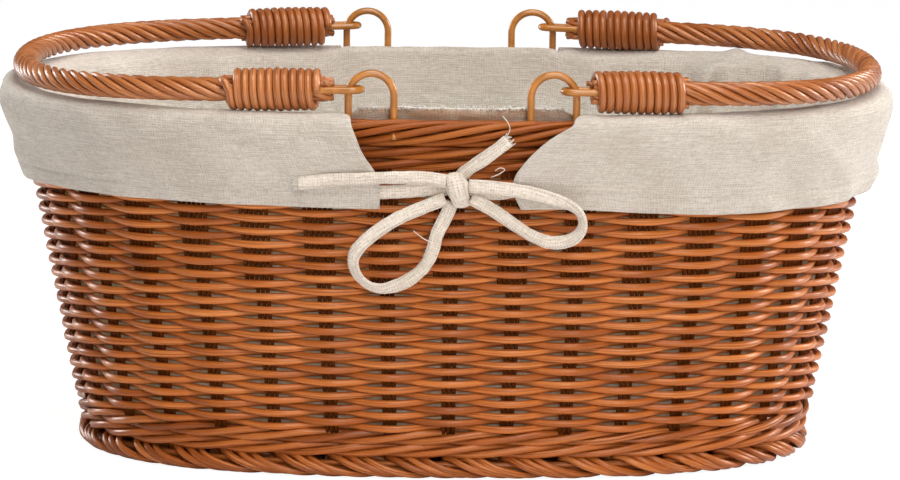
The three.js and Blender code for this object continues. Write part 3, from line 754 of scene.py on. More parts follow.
class BASKET_OT_tie(bpy.types.Operator):
    """Ties the bow at the front of the liner"""

    bl_idname = "basket.tie"
    bl_label = "Bow"

    def execute(self, context):
        made = finishes(context)
        sizes = context.scene.basket_sizes
        self.width = sizes.tape_width
        self.thickness = sizes.tape_thickness
        self.material = made["tape_linen"]
        knot = self.add_knot()
        left, right = [*BAND_LEFT, *TAIL_RIGHT], [*BAND_RIGHT, *TAIL_LEFT]
        for name, route, roll, far_end, nodes, with_pieces in (
            ("tie_tail_right", left, None, "bare", ("tie_band_left", "tie_tail_right"), [knot]),
            ("tie_tail_left", right, self.tail_roll, "bare", ("tie_band_right", "tie_tail_left"), []),
            ("tie_loop_left", LOOP_LEFT, self.left_roll, "object", ("tie_loop_left",), []),
            ("tie_loop_right", LOOP_RIGHT, self.right_roll, "object", ("tie_loop_right",), []),
        ):
            line = smooth_line(from_knot(route), TAPE_SPACING)
            mesh = tape_mesh(name + "_tape", line, self.width, self.thickness, roll)
            tape = finish_piece(mesh, self.material, "basket", nodes)
            Rod(line).length()
        self.add_fray(made["sewing_thread"])
        return {"FINISHED"}

    @staticmethod
    def tail_roll(part):
        return 0.35 * math.sin(part * 7)

    @staticmethod
    def left_roll(part):
        return 0.95 * bell(part, 0.5, 0.13) - 0.5 * bell(part, 0.72, 0.1)

    @staticmethod
    def right_roll(part):
        return bell(part, 0.46, 0.12) - 0.4 * bell(part, 0.75, 0.1)

    def add_knot(self):
        """A band of tape drawn tight over the crossing, on a rounded core."""
        wrap = smooth_line(from_knot(KNOT_WRAP), TAPE_SPACING / 2)
        band = tape_mesh("tie_knot_band", wrap, 10.6 * MM, 5 * MM)
        core = bmesh.new()
        core.from_mesh(band)
        bpy.data.meshes.remove(band)
        for _ in range(8):
            bmesh.ops.smooth_vert(
                core, verts=core.verts, factor=0.5, use_axis_x=True, use_axis_y=True, use_axis_z=True
            )
        round_core = bmesh.ops.create_uvsphere(core, u_segments=24, v_segments=14, radius=1)["verts"]
        bmesh.ops.scale(core, vec=KNOT_CORE, verts=round_core)
        bmesh.ops.translate(core, vec=KNOT_AT + Vector((0.3, -0.2, 0)) * MM, verts=round_core)
        mesh = mesh_of(core, "tie_knot_band")
        return finish_piece(mesh, self.material, "basket", ("tie_knot",))

    def add_fray(self, material):
        """Threads that hang out of the cut ends of the two tails, and three long ones."""
        draw = random.Random(5)
        threads = []
        for end, ahead, across in (
            (Vector(TAIL_RIGHT[-1]), Vector((0.74, -0.1, 0.66)), Vector((-0.66, 0, 0.74))),
            (Vector(TAIL_LEFT[-1]), Vector((-0.96, 0.2, -0.1)), Vector((0.1, 0, -0.96))),
        ):
            for _ in range(16):
                start = end + across * draw.uniform(-2.6, 2.6) - ahead * 0.8
                reach = draw.uniform(1.4, 3.2)
                drift = across * draw.uniform(-0.9, 0.9) + Vector((0, draw.uniform(-0.5, 0.2), 0))
                half_way = start + ahead * reach * 0.5 + drift * 0.3
                threads.append([start, half_way, start + ahead * reach + drift])
        threads += LOOSE_THREADS
        rods = [Rod(smooth_line(from_knot(points), FRAY_SPACING)) for points in threads]
        rods_piece("tie_fray", rods, 0.42 * MM, material, sides=6)


# Woven wall


class BASKET_OT_weave(bpy.types.Operator):
    """Weaves the side: thin upright rods in bundles and weavers that pass in front and behind"""

    bl_idname = "basket.weave"
    bl_label = "Woven side"

    steps = 8
    front_dip = 0.4 * MM
    # Rods of an upright, counted from its middle: three go all the way up, three join in higher
    long_rods = (-1, 0, 1)
    short_rods = (-3, -2, 2)
    bundle_change = 90 * MM

    def execute(self, context):
        sizes = context.scene.basket_sizes
        made = finishes(context)
        pitch = (SIDE_HIGH - SIDE_LOW) / WEAVER_ROWS
        levels = [SIDE_LOW + (row + 0.5) * pitch for row in range(WEAVER_ROWS)]
        weavers = [self.weaver(row, level, sizes.weave_depth) for row, level in enumerate(levels)]
        rods_piece("weavers", weavers, sizes.weaver, made["stained_willow"], ("woven_side",))
        uprights = self.upright_rods(sizes.upright_rod)
        rods_piece("uprights", uprights, sizes.upright_rod, made["upright_willow"], sides=6)
        return {"FINISHED"}

    def weaver(self, row, height, depth):
        points = []
        radii = []
        for step in range(UPRIGHTS * self.steps):
            upright = FIRST_UPRIGHT + step / self.steps
            swing = math.cos(math.pi * (upright + row + 1))
            unevenness = Vector((upright * 0.9, row * 3.1, 4.7))
            lift = 0.28 * MM * noise.noise(unevenness)
            swell = depth * (1 + 0.12 * noise.noise(unevenness + Vector((9, 0, 0))))
            dip = self.front_dip * swing
            outward = MIDDLE_OF_WALL + swell * swing
            points.append(OVAL.point(upright / UPRIGHTS, height + lift - dip, outward))
            radii.append(0.86 + 0.14 * swing * swing + 0.05 * noise.noise(unevenness * 0.6))
        return Rod(points, True, radii)

    def upright_rods(self, diameter):
        rods = []
        high = TOP_WALE_LOW + MM
        for upright in range(UPRIGHTS):
            for slip in self.long_rods + self.short_rods:
                low = BASE_WALE_HIGH - MM
                if slip in self.short_rods:
                    low = self.bundle_change + 4 * MM * waver(upright, slip, 2)
                share = upright / UPRIGHTS + slip * diameter * 1.02 / OVAL.girth
                points = []
                for n in range(self.steps + 1):
                    level = low + (high - low) * n / self.steps
                    sway = 0.15 * MM * waver(upright, slip, level * 60)
                    points.append(OVAL.point(share, level, MIDDLE_OF_WALL + sway))
                rods.append(Rod(points))
        return rods


# Borders


def twisted_ring(strands, turns, middle, outward, half_width, half_height, steps, wander):
    """Rods wound round a ring of oval section, which rise to the right at the front."""
    rods = []
    count = turns * steps
    for strand in range(strands):
        points = []
        for step in range(count):
            share = FIRST_UPRIGHT / UPRIGHTS + step / count
            phase = TURN * (turns * share - strand / strands)
            stray = wander * waver(share * 40, strand * 2.7, outward * 900)
            rise = (half_height + stray) * math.sin(phase)
            reach = (half_width + stray) * math.cos(phase)
            points.append(OVAL.point(share, middle + rise, outward + reach))
        rods.append(Rod(points, True))
    return rods


def hoop(height, outward, thickness=1.0):
    """A plain rod laid round the oval."""
    count = 240
    points = [OVAL.point(n / count, height, outward) for n in range(count)]
    return Rod(points, True, [thickness] * count)


class BASKET_OT_borders(bpy.types.Operator):
    """Lays the foot border, the two wales and the rim border"""

    bl_idname = "basket.borders"
    bl_label = "Borders"

    # A rod's way round the foot: distance along, distance outside the wall and height, in millimetres
    foot_turn = (
        (-4, -6.4, 9.4), (-0.6, -4, 9), (2, -1.6, 7.9), (5.4, 0.2, 6.3), (9.4, 0.8, 4.8),
        (14, 0.6, 3.4), (19, -0.5, 2.3), (24.4, -2.6, 1.8), (30, -5, 2.2),
    )
    # Plain rods under it: distance outside the wall and height, in millimetres
    foot_hoops = ((-8.6, 2.4), (-5.8, 3.6), (-4.6, 6))
    rim_middle = -3.2 * MM
    rim_half_width = 4.9 * MM
    hoop_share = 0.8

    def execute(self, context):
        sizes = context.scene.basket_sizes
        made = finishes(context)
        wale = sizes.wale_rod
        for node, rods, diameter, willow in (
            ("foot_border", self.foot_rods(sizes.foot_rods, sizes.foot_rod), sizes.foot_rod, "foot_willow"),
            ("base_wale", self.wale_rods(BASE_WALE_LOW, BASE_WALE_HIGH, wale), wale, "foot_willow"),
            ("top_wale", self.wale_rods(TOP_WALE_LOW, TOP_WALE_HIGH, wale), wale, "rim_willow"),
            ("rim_border", self.rim_rods(sizes.rim_rod), sizes.rim_rod, "rim_willow"),
        ):
            rods_piece(node + "_rods", rods, diameter, made[willow], (node,))
        return {"FINISHED"}

    def foot_rods(self, count, diameter):
        """Rods that come out under the base wale in threes and turn down to the right, over plain hoops."""
        rods = []
        gather = OVAL.girth / MM / count * 0.3
        lowest = diameter / MM / 2
        highest = FOOT_HIGH / MM - diameter / MM / 2 + 1
        for n in range(count):
            loose = waver(n * 0.73, 2.1, 0.4)
            slip = waver(n * 0.91, 7.7, 1.3)
            route = []
            for along, outward, height in self.foot_turn:
                share = n / count + (along + 1.4 * slip - (n % 3 - 1) * gather) * MM / OVAL.girth
                lift = min(max(height + 0.5 * loose, lowest), highest)
                route.append(OVAL.point(share, lift * MM, (outward + 0.4 * slip) * MM))
            rods.append(Rod(smooth_line(route, 2.6 * MM)))
        return rods + [hoop(height * MM, outward * MM) for outward, height in self.foot_hoops]

    def wale_rods(self, low, high, diameter):
        """Two rows of three twisted rods, each row over two plain hoops that close the gaps."""
        rods = []
        row = (high - low) / 2
        swing = row / 2 - diameter * 0.26
        for level in (low + row / 2, high - row / 2):
            rods += twisted_ring(3, 12, level, MIDDLE_OF_WALL, 2.9 * MM, swing, 24, 0.2 * MM)
            for lift in (-1.6 * MM, 1.6 * MM):
                rods.append(hoop(level + lift, MIDDLE_OF_WALL - 2 * MM, self.hoop_share))
        return rods

    def rim_rods(self, diameter):
        """Seven twisted rods over three plain hoops that close the gaps."""
        half = (RIM_HIGH - RIM_LOW) / 2
        middle = RIM_LOW + half
        width = self.rim_half_width - diameter / 2
        rods = twisted_ring(7, 8, middle, self.rim_middle, width, half - diameter / 2, 36, 0.3 * MM)
        for lift in (-4.5 * MM, 0, 4.5 * MM):
            rods.append(hoop(middle + lift, self.rim_middle, self.hoop_share))
        return rods


# Base


class BASKET_OT_base(bpy.types.Operator):
    """Weaves the base over and under its sticks"""

    bl_idname = "basket.base"
    bl_label = "Base"

    strand = 3.2 * MM
    row_pitch = 3.9 * MM
    stick_spacing = 52 * MM
    shortest_row = 40 * MM
    steps = 8

    def execute(self, context):
        made = finishes(context)
        rods_piece("base_weave", self.rows(), self.strand, made["stained_willow"], ("base_mat",), sides=6)
        for name, node in frame["nodes"].items():
            if "_stick_" in name:
                node.data.materials.clear()
                node.data.materials.append(made["base_sticks"])
        return {"FINISHED"}

    def rows(self):
        low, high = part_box("base_cross_stick_3")
        middle = (low.z + high.z) / 2
        swing = (high.z - low.z) / 2 + self.strand / 2
        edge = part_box("base_mat")[1]
        last_row = int(edge.y / self.row_pitch)
        rods = []
        for row in range(-last_row, last_row + 1):
            y = row * self.row_pitch
            reach = edge.x * max(0.0, 1 - (abs(y) / edge.y) ** OVAL.power) ** (1 / OVAL.power)
            if reach < self.shortest_row:
                continue
            count = int(2 * reach / self.stick_spacing * self.steps)
            points = []
            for step in range(count + 1):
                x = -reach + 2 * reach * step / count
                wave = math.cos(math.pi * (x / self.stick_spacing + row))
                lift = 0.2 * MM * waver(x * 60, row * 1.3, 0)
                points.append(Vector((x, y, middle + swing * wave + lift)))
            rods.append(Rod(points))
        return rods


# Handles and staples

# A handle's rope, from the hinge outwards
HANDLE_LIFT = 3 * MM
HANDLE_TILT = math.radians(1.2)
HANDLE_TOE = math.radians(8)
HANDLE_STRAIGHT = 66 * MM
HOOP_FULLNESS = 0.64
ROPE_START = 17 * MM
ROPE_DIAMETER = 11 * MM
ROPE_LAY = 55 * MM
# The eye at each of its ends, and the binding that holds it
EYE_RADIUS = 4.2 * MM
EYE_START = 2.8 * MM
EYE_END = 50 * MM
BINDING_START = 23 * MM
BINDING_TURNS = 11
BINDING_PITCH = 3.5 * MM
BINDING_RADIUS = 7.9 * MM
# How much nearer its eye a binding sits than the others
BINDING_SLIPS = {"handle_right_front": 4.5 * MM, "handle_left_back": 3 * MM}
# Cut ends of rods under the binding: angle round it, and how far each shows past its start or its finish
STUBS_BEFORE = ((0.6, 3.4), (2.2, 2.2), (3.9, 2.8))
STUBS_AFTER = ((1.2, 3.6), (4.4, 2.8))
STUB_SHARE = 0.68
STUB_RADIUS = 5.6 * MM
STUB_HIDDEN = 4 * MM


def hairpin(radius, leg, steps=24):
    """Two legs along +X joined by a half circle about the origin."""
    points = [Vector((leg, -radius, 0)), Vector((leg / 2, -radius, 0))]
    for n in range(steps + 1):
        angle = math.pi * n / steps
        points.append(Vector((-radius * math.sin(angle), -radius * math.cos(angle), 0)))
    return points + [Vector((leg / 2, radius, 0)), Vector((leg, radius, 0))]


def handle_end(distance, side):
    """A point on a straight end of the handle, which turns inwards about its staple's leg."""
    past = distance - STAPLE_RADIUS
    inward = past * math.sin(HANDLE_TOE)
    return Vector((STAPLE_RADIUS + past * math.cos(HANDLE_TOE), side * (HANDLE_Y - inward), 0))


def onto_end(points, side):
    turn = Matrix.Rotation(-side * HANDLE_TOE, 3, "Z")
    return [handle_end(0, side) + turn @ point for point in points]


def bezier(points, steps):
    start, pull, push, end = points
    line = []
    for n in range(steps):
        t = n / steps
        line.append(
            start * (1 - t) ** 3 + pull * (3 * t * (1 - t) ** 2) + push * (3 * t * t * (1 - t)) + end * t**3
        )
    return line


def hoop_line(reach, spacing):
    """The middle line of a handle's rope, from one end round to the other."""

    def half(side):
        near = handle_end(HANDLE_STRAIGHT, side)
        length = (reach - near.x) * HOOP_FULLNESS
        pull = handle_end(HANDLE_STRAIGHT + length / math.cos(HANDLE_TOE), side)
        push = Vector((reach, near.y * HOOP_FULLNESS, 0))
        start = [handle_end(ROPE_START, side).lerp(near, n / 6) for n in range(6)]
        return start + bezier((near, pull, push, Vector((reach, 0, 0))), 16)

    return smooth_line([*half(-1), Vector((reach, 0, 0)), *reversed(half(1))], spacing)


class BASKET_OT_handles(bpy.types.Operator):
    """Twists the two hoop handles, winds their bindings and bends their wire eyes"""

    bl_idname = "basket.handles"
    bl_label = "Handles"

    def execute(self, context):
        self.sizes = context.scene.basket_sizes
        self.made = finishes(context)
        for body, turned in (("handle_left", True), ("handle_right", False)):
            self.add_handle(body, turned)
        return {"FINISHED"}

    def add_handle(self, body, turned):
        place = Matrix.Translation(HINGES[body])
        place = place @ Matrix.Rotation(math.pi if turned else 0.0, 4, "Z")
        place = place @ Matrix.Translation((0, 0, HANDLE_LIFT)) @ Matrix.Rotation(HANDLE_TILT, 4, "Y")
        ends = [abs(corner.x - HINGES[body].x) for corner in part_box(body + "_rope")]
        reach = max(ends) - ROPE_DIAMETER / 2

        def placed(points):
            return [place @ point for point in points]

        wicker = self.made["handle_willow"]
        strands = [Rod(placed(points)) for points in self.rope_strands(reach)]
        rods_piece(
            body + "_rope_strands", strands, self.sizes.rope_strand, wicker, (body + "_rope",), body=body
        )
        for side in (-1, 1):
            end = "front" if (side < 0) != turned else "back"
            eye = [Rod(placed(onto_end(self.eye(), side)))]
            node = f"{body}_eye_{end}"
            wire = self.made["coated_wire"]
            rods_piece(node + "_wire", eye, self.sizes.eye_wire, wire, (node,), 14, body)
            winding = []
            for points, share in self.binding(side, BINDING_SLIPS.get(f"{body}_{end}", 0.0)):
                winding.append(Rod(placed(onto_end(points, side)), False, [share] * len(points)))
            node = f"{body}_binding_{end}"
            rods_piece(node + "_strand", winding, self.sizes.binding, wicker, (node,), 10, body)

    def rope_strands(self, reach):
        line = hoop_line(reach, 4.5 * MM)
        up = Vector((0, 0, 1))
        count = self.sizes.rope_strands
        radius = ROPE_DIAMETER / 2 - self.sizes.rope_strand / 2
        strands = []
        for strand in range(count):
            points = []
            for point, ahead, done in zip(line, tangents(line), walked(line)):
                angle = TURN * (done / ROPE_LAY + strand / count)
                side = ahead.cross(up)
                points.append(point + (up * math.cos(angle) + side * math.sin(angle)) * radius)
            strands.append(points)
        return [*strands, line]

    def eye(self):
        bend = EYE_START + self.sizes.eye_wire / 2 + EYE_RADIUS
        return [point + Vector((bend, 0, 0)) for point in hairpin(EYE_RADIUS, EYE_END - bend)]

    def binding(self, side, slip):
        """The wound strand, with the cut ends of the rods that it holds."""
        steps = 20
        begin = BINDING_START - slip
        winding = []
        for n in range(BINDING_TURNS * steps + 1):
            turn = n / steps
            angle = TURN * turn
            loose = 1 + 0.02 * waver(turn * 0.9, side * 5, 0)
            barrel = 0.95 + 0.06 * math.sin(math.pi * turn / BINDING_TURNS)
            radius = BINDING_RADIUS * loose * barrel
            along = begin + turn * BINDING_PITCH
            along += 0.25 * MM * waver(turn * 1.3, side * 3, 8)
            winding.append(Vector((along, radius * math.cos(angle), radius * math.sin(angle))))
        finish = begin + BINDING_TURNS * BINDING_PITCH
        tucked = winding[-1]
        tail = [tucked + Vector((1.6, 0.4, 3.4)) * MM, tucked + Vector((3.6, -1.6, 5.2)) * MM]
        stubs = [(angle, begin + STUB_HIDDEN, begin - shown * MM) for angle, shown in STUBS_BEFORE]
        stubs += [(angle, finish - STUB_HIDDEN, finish + shown * MM) for angle, shown in STUBS_AFTER]
        strands = [(winding + tail, 1.0)]
        for angle, start, end in stubs:
            spot = Vector((0, STUB_RADIUS * math.cos(angle), STUB_RADIUS * math.sin(angle)))
            points = [spot + Vector((start + (end - start) * n / 4, 0, 0)) for n in range(5)]
            strands.append((points, STUB_SHARE))
        return strands


class BASKET_OT_staples(bpy.types.Operator):
    """Bends the wire staples that the handles hang on"""

    bl_idname = "basket.staples"
    bl_label = "Staples"

    def execute(self, context):
        wire = context.scene.basket_sizes.staple_wire
        material = finishes(context)["coated_wire"]
        hinge = HINGES["handle_right"].z
        leg = hinge - RIM_LOW - 1.5 * MM
        upright = Matrix(((0, 1, 0), (0, 0, -1), (-1, 0, 0)))
        for name, side, row in (
            ("staple_front_left", -1, -1),
            ("staple_front_right", 1, -1),
            ("staple_back_left", -1, 1),
            ("staple_back_right", 1, 1),
        ):
            body = "handle_left" if side < 0 else "handle_right"
            middle = Vector((HINGES[body].x, row * HANDLE_Y, hinge))
            rods = [Rod([middle + upright @ point for point in hairpin(STAPLE_RADIUS, leg)])]
            if name == "staple_front_left":
                rods.append(self.clinched_tip(middle + Vector((STAPLE_RADIUS, 0, RIM_HIGH - hinge))))
            rods_piece(name + "_wire", rods, wire, material, (name,), 14)
        return {"FINISHED"}

    def clinched_tip(self, foot):
        """The end of a leg that comes out between the rods of the rim and is bent down."""
        steps = ((0, 0, -6), (0, -3, -6.4), (0, -5, -6.8), (0, -6, -7.6), (0, -6.3, -8.6))
        line = smooth_line([foot + Vector(step) * MM for step in steps], 0.8 * MM)
        return Rod(line, False, [0.72] * len(line))


# Liner


def interpolate(pairs, value):
    keys = [pair[0] for pair in pairs]
    if value <= keys[0]:
        return pairs[0][1]
    if value >= keys[-1]:
        return pairs[-1][1]
    high = bisect.bisect_right(keys, value)
    (k0, v0), (k1, v1) = pairs[high - 1], pairs[high]
    return v0 + (v1 - v0) * (value - k0) / (k1 - k0)


def smooth_step(value, low, high):
    t = min(max((value - low) / (high - low), 0.0), 1.0)
    return t * t * (3 - 2 * t)


class BASKET_OT_liner(bpy.types.Operator):
    """Sews the linen liner: a bag turned over the rim as a cuff, open at the front and notched behind"""

    bl_idname = "basket.liner"
    bl_label = "Liner"

    columns = 216
    wall_stand = -9.2 * MM
    bag_top = RIM_HIGH - 0.6 * MM
    seam_height = CUFF_HEM + 7.2 * MM
    # Rows of the floor, as shares of the way from its middle to its edge
    floor_shares = (0.004, 0.2, 0.4, 0.58, 0.74, 0.86, 0.94, 0.985)
    # Rows of the wall where it leaves the floor, in millimetres above it, and the even rows over them
    wall_starts = (0.6, 2.2, 5.5, 10)
    even_rows = 20
    # The way over the rim: distances outside the wall and heights above the rim
    over_rim = ((-9.3, -0.2), (-7.9, 0.9), (-5.2, 1.5), (-2.6, 1.8), (0, 1.8), (2.6, 1.4))
    # Heights above the hem and distances outside the wall, down the outside of the cuff
    cuff = (
        (0.0, 2.6), (2.0, 2.9), (6, 3.4), (7.2, 2.7), (8.4, 3.6), (12, 4.6), (18, 5.8), (24, 6.7),
        (29, 7.2), (33, 7.2), (36.5, 6.7), (39, 5.7), (40.6, 4.4),
    )
    cuff_levels = (
        40.2, 38.4, 36, 33, 30, 26.6, 23, 19.4, 16, 13, 10.6, 8.8, 7.8, 7.2, 6.6, 5.4, 3.4, 1.4, 0.2,
    )
    # Edges of the front opening: shares of the way from the hem up to the rim and distances from the middle
    left_edge = (
        (0.0, 35.6), (0.2, 35.6), (0.38, 36.4), (0.5, 39.4), (0.63, 43.2),
        (0.8, 45.6), (0.94, 47.8), (0.97, 49), (0.985, 51), (1.0, 53),
    )
    right_edge = (
        (0.0, 26.0), (0.12, 23.6), (0.23, 21.6), (0.4, 23.0),
        (0.6, 28.4), (0.8, 36.2), (0.92, 43.8), (1.0, 53.0),
    )
    # How many columns an edge draws along, and how far its hem stands out, column by column
    reach = 30
    edge_hem = (0.9, 0.95, 0.6, -0.35)
    # The pleat behind on the right: its share of the way round, and the share that it draws in
    pleat_at = 0.368
    pleat_reach = 0.032
    # Gathers of the bag: share of the way round, width as a share and depth
    gathers = (
        (0.31, 0.005, 7), (0.328, 0.0045, 6), (0.29, 0.006, 6),
        (0.43, 0.008, 3.4), (0.60, 0.008, 3), (0.66, 0.007, 3.4),
    )
    notch_depth = 17.9 * MM
    notch_half_width = 54 * MM
    # How far the bag stands above the rim in the front opening and in the notch
    front_rise = 5
    back_rise = 3.6
    # The column along which the heights of the map are measured
    map_column = 60

    def execute(self, context):
        made = finishes(context)
        self.lay_rows()
        liner = self.add_cloth(context.scene.basket_sizes.cloth, made["bag_linen"], made["cuff_linen"])
        stitches = self.add_stitches(made["sewing_thread"])
        fray = self.add_fray(made["sewing_thread"])
        return {"FINISHED"}

    def lay_rows(self):
        """The rows of the cloth, from the middle of the floor to the folded hem."""
        wall = [FLOOR_CLOTH + step * MM for step in self.wall_starts]
        start = wall[-1]
        wall += [start + (self.bag_top - start) * n / self.even_rows for n in range(1, self.even_rows + 1)]
        self.floor_rows = len(self.floor_shares)
        self.wall_rows = wall
        self.bag_rows = self.floor_rows + len(wall)
        self.crisp_row = self.floor_rows + sum(height < TOP_WALE_LOW for height in wall)
        self.rim_rows = self.bag_rows + len(self.over_rim)
        self.hem_rows = self.rim_rows + len(self.cuff_levels)
        self.rows = self.hem_rows + 2

        def columns_to(distance):
            return round(OVAL.share_at(distance, RIM_HIGH, 0) * self.columns)

        half = self.columns // 2
        self.front_right = columns_to(38 * MM + FITTINGS_MIDDLE)
        self.front_left = self.columns - columns_to(44 * MM - FITTINGS_MIDDLE)
        self.back_right = half - columns_to(GAP_HALF_WIDTH + FITTINGS_MIDDLE)
        self.back_left = half + columns_to(GAP_HALF_WIDTH - FITTINGS_MIDDLE)

    def notch_height(self, x):
        """The lowest height of the opening at the back."""
        floor = RIM_HIGH - self.notch_depth
        inside = 1 - min(abs(x) / GAP_HALF_WIDTH, 1.0)
        return floor + (RIM_HIGH - floor) * (1 - math.sqrt(inside)) ** 2

    @staticmethod
    def up_cuff(height):
        """The share of the way from the hem up to the rim."""
        return (height - CUFF_HEM) / (RIM_HIGH - CUFF_HEM)

    def shifted_share(self, column, row, height):
        """The share of a column, drawn aside where it follows the edge of an opening."""
        share = column / self.columns
        if row < self.floor_rows:
            return share
        pull = smooth_step(height, 0.095, RIM_HIGH - 4 * MM) if row < self.bag_rows else 1.0
        middle = self.pleat_share(height)
        beside = (share - middle) / self.pleat_reach
        if abs(beside) < 1:
            drawn = middle + self.pleat_reach * math.copysign(abs(beside) ** 1.6, beside)
            share += (drawn - share) * smooth_step(height, 0.02, 0.07)
        if pull <= 0:
            return share
        if row < self.rim_rows:
            level = {self.rim_rows - 2: 0.985, self.rim_rows - 1: 0.97}.get(row, 1.0)
        else:
            level = min(0.955, self.up_cuff(height))
        right = OVAL.share_at(interpolate(self.right_edge, level) * MM + FITTINGS_MIDDLE, height, 0)
        left = 1 - OVAL.share_at(interpolate(self.left_edge, level) * MM - FITTINGS_MIDDLE, height, 0)
        back_right = 0.5 - OVAL.share_at(GAP_HALF_WIDTH + FITTINGS_MIDDLE, height, 0)
        back_left = 0.5 + OVAL.share_at(GAP_HALF_WIDTH - FITTINGS_MIDDLE, height, 0)
        back_pull = pull if row < self.rim_rows + 3 else 0.0
        opening = self.front_right + self.columns - self.front_left
        in_opening = column <= self.front_right or column >= self.front_left
        for anchor, wanted, strength in (
            (self.front_right, right, pull),
            (self.front_left, left, pull),
            (self.back_right, back_right, back_pull),
            (self.back_left, back_left, back_pull),
        ):
            away = abs(column - anchor)
            near = max(0.0, 1 - away / self.reach)
            if in_opening and anchor in (self.front_right, self.front_left):
                near = max(0.0, 1 - min(away, self.columns - away) / opening)
            share += (wanted - anchor / self.columns) * near * near * strength
        return share

    def pleat_share(self, height):
        """Where the pleat behind on the right stands: it leans to the left as it goes down."""
        return self.pleat_at + 0.25 * (RIM_HIGH - height)

    def by_seam(self, column):
        """How far the cloth may leave its even face: not at all by the seam in the middle of the front."""
        beside = column % self.columns
        return smooth_step(min(beside, self.columns - beside), 0, 4)

    def wall_fold(self, share, height):
        """Soft upright folds of the bag, deepest near the ends and the top, with its pleat and gathers."""
        up = smooth_step(height, 0.02, 0.12)
        ends = abs(math.sin(TURN * share)) ** 1.5
        broad = (1 - abs(waver(share * 22 + height * 12, height * 10, 1.7))) ** 4
        narrow = (1 - abs(waver(share * 40 - height * 25, height * 14, 3.9))) ** 6
        fine = 0.5 + 0.5 * waver(share * 64, height * 16, 5.1)
        beside = share - self.pleat_share(height)
        ridge_width = 0.009 if beside > 0 else 0.0022
        pleat = 12 * bell(beside, 0, ridge_width) + 2.5 * bell(beside, 0, 0.03)
        pleat -= 3 * bell(beside, -0.0055, 0.003)
        pleat *= smooth_step(height, 0.04, 0.15)
        gathers = 0.0
        for middle, width, depth in self.gathers:
            gathers += depth * bell(share, middle, width)
        return up * ((2.4 + 1.8 * ends) * (broad + 0.4 * narrow) + 0.6 * fine + pleat + gathers) * MM

    @staticmethod
    def rim_lump(share):
        """Where the cloth lies in lumps over the rim, most of all behind on the right."""
        right = bell(share, 0.34, 0.06)
        ends = abs(math.sin(TURN * share)) ** 4
        wave = 0.5 + 0.5 * waver(share * 70, 0.3, 2.9)
        pleat = bell(share, 0.367, 0.005)
        return ((0.4 + 0.5 * ends + 1.0 * right) * wave + 1.6 * pleat) * MM

    def sag(self, share, height):
        """How far the cuff hangs below its even place, most of all at the right of the front."""
        fullness = 1 - self.up_cuff(height)
        right = smooth_step(share, 0.04, 0.13) * (1 - smooth_step(share, 0.22, 0.3))
        return (4.2 * right + 0.5 * waver(share * 34, 0.4, 7.7)) * fullness * MM

    def cuff_fold(self, share, height):
        """Creases of the cuff, which hangs in broad folds at the two ends."""
        drop = 1 - self.up_cuff(height)
        ends = abs(math.sin(TURN * share)) ** 2
        slack = min(1.0, 0.25 + drop)
        broad = waver(share * 30, height * 14, 3.3)
        slanted = waver(share * 52 + height * 60, height * 42, 8.2)
        fine = waver(share * 120, height * 70, 6.4)
        folds = ends * math.sin(TURN * 18 * share) * drop * 1.1
        level = (height - CUFF_HEM) / MM
        crease = bell(level, 7, 3) * 1.8 - bell(level, 14, 5) * 1.7
        dent = bell(level, 9, 4) * 1.2 - bell(level, 19, 5) * 2.4
        folds += crease * bell(share, 0.25, 0.05) + dent * bell(share, 0.75, 0.05)
        sharp = (1 - abs(waver(share * 34 + height * 26, height * 30, 5.5))) ** 12
        folds += (1.3 + 0.4 * ends) * sharp
        return (broad * (0.7 + 1.3 * ends) * slack + slanted * (1.2 + 0.5 * ends) + fine * 0.3 + folds) * MM

    def place(self, column, row):
        """The point of the cloth at a column and row."""
        if row < self.floor_rows:
            return self.floor_place(column % self.columns, row)
        if row < self.bag_rows:
            return self.bag_place(column, row)
        if row < self.rim_rows:
            outward, rise = self.over_rim[row - self.bag_rows]
            share = self.shifted_share(column, row, RIM_HIGH)
            lift = self.rim_lump(share) * max(0.0, rise) + 0.35 * MM * waver(share * 90, outward * 0.2, 4)
            return OVAL.point(share, RIM_HIGH + rise * MM + lift, outward * MM)
        return self.cuff_place(column, row)

    def floor_place(self, column, row):
        edge = OVAL.point(column / self.columns, FLOOR_CLOTH, self.wall_stand)
        part = self.floor_shares[row]
        ripple = 0.25 * MM * waver(edge.x * 40 * part, edge.y * 40 * part, 2.2)
        return Vector((edge.x * part, edge.y * part, FLOOR_CLOTH + ripple * part))

    def bag_place(self, column, row):
        height = self.wall_rows[row - self.floor_rows]
        share = self.shifted_share(column, row, height)
        x = abs(OVAL.point(share, RIM_HIGH, 0).x - FITTINGS_MIDDLE)
        if share < 0.25 or share > 0.75:
            open_here = smooth_step(GAP_HALF_WIDTH - x, 0, 7 * MM)
            rise = self.front_rise
        else:
            open_here = smooth_step(self.notch_half_width - x, 0, MM)
            rise = self.back_rise
        uneven = self.by_seam(column)
        ragged = open_here * uneven * 0.7 * MM * waver(share * 300, 0, 9.1)
        part = smooth_step(height, 0.12, self.bag_top)
        stand = self.wall_stand - self.wall_fold(share, height) * uneven * (1 - part * 0.25)
        return OVAL.point(share, height + (open_here * rise * MM + ragged) * part, stand)

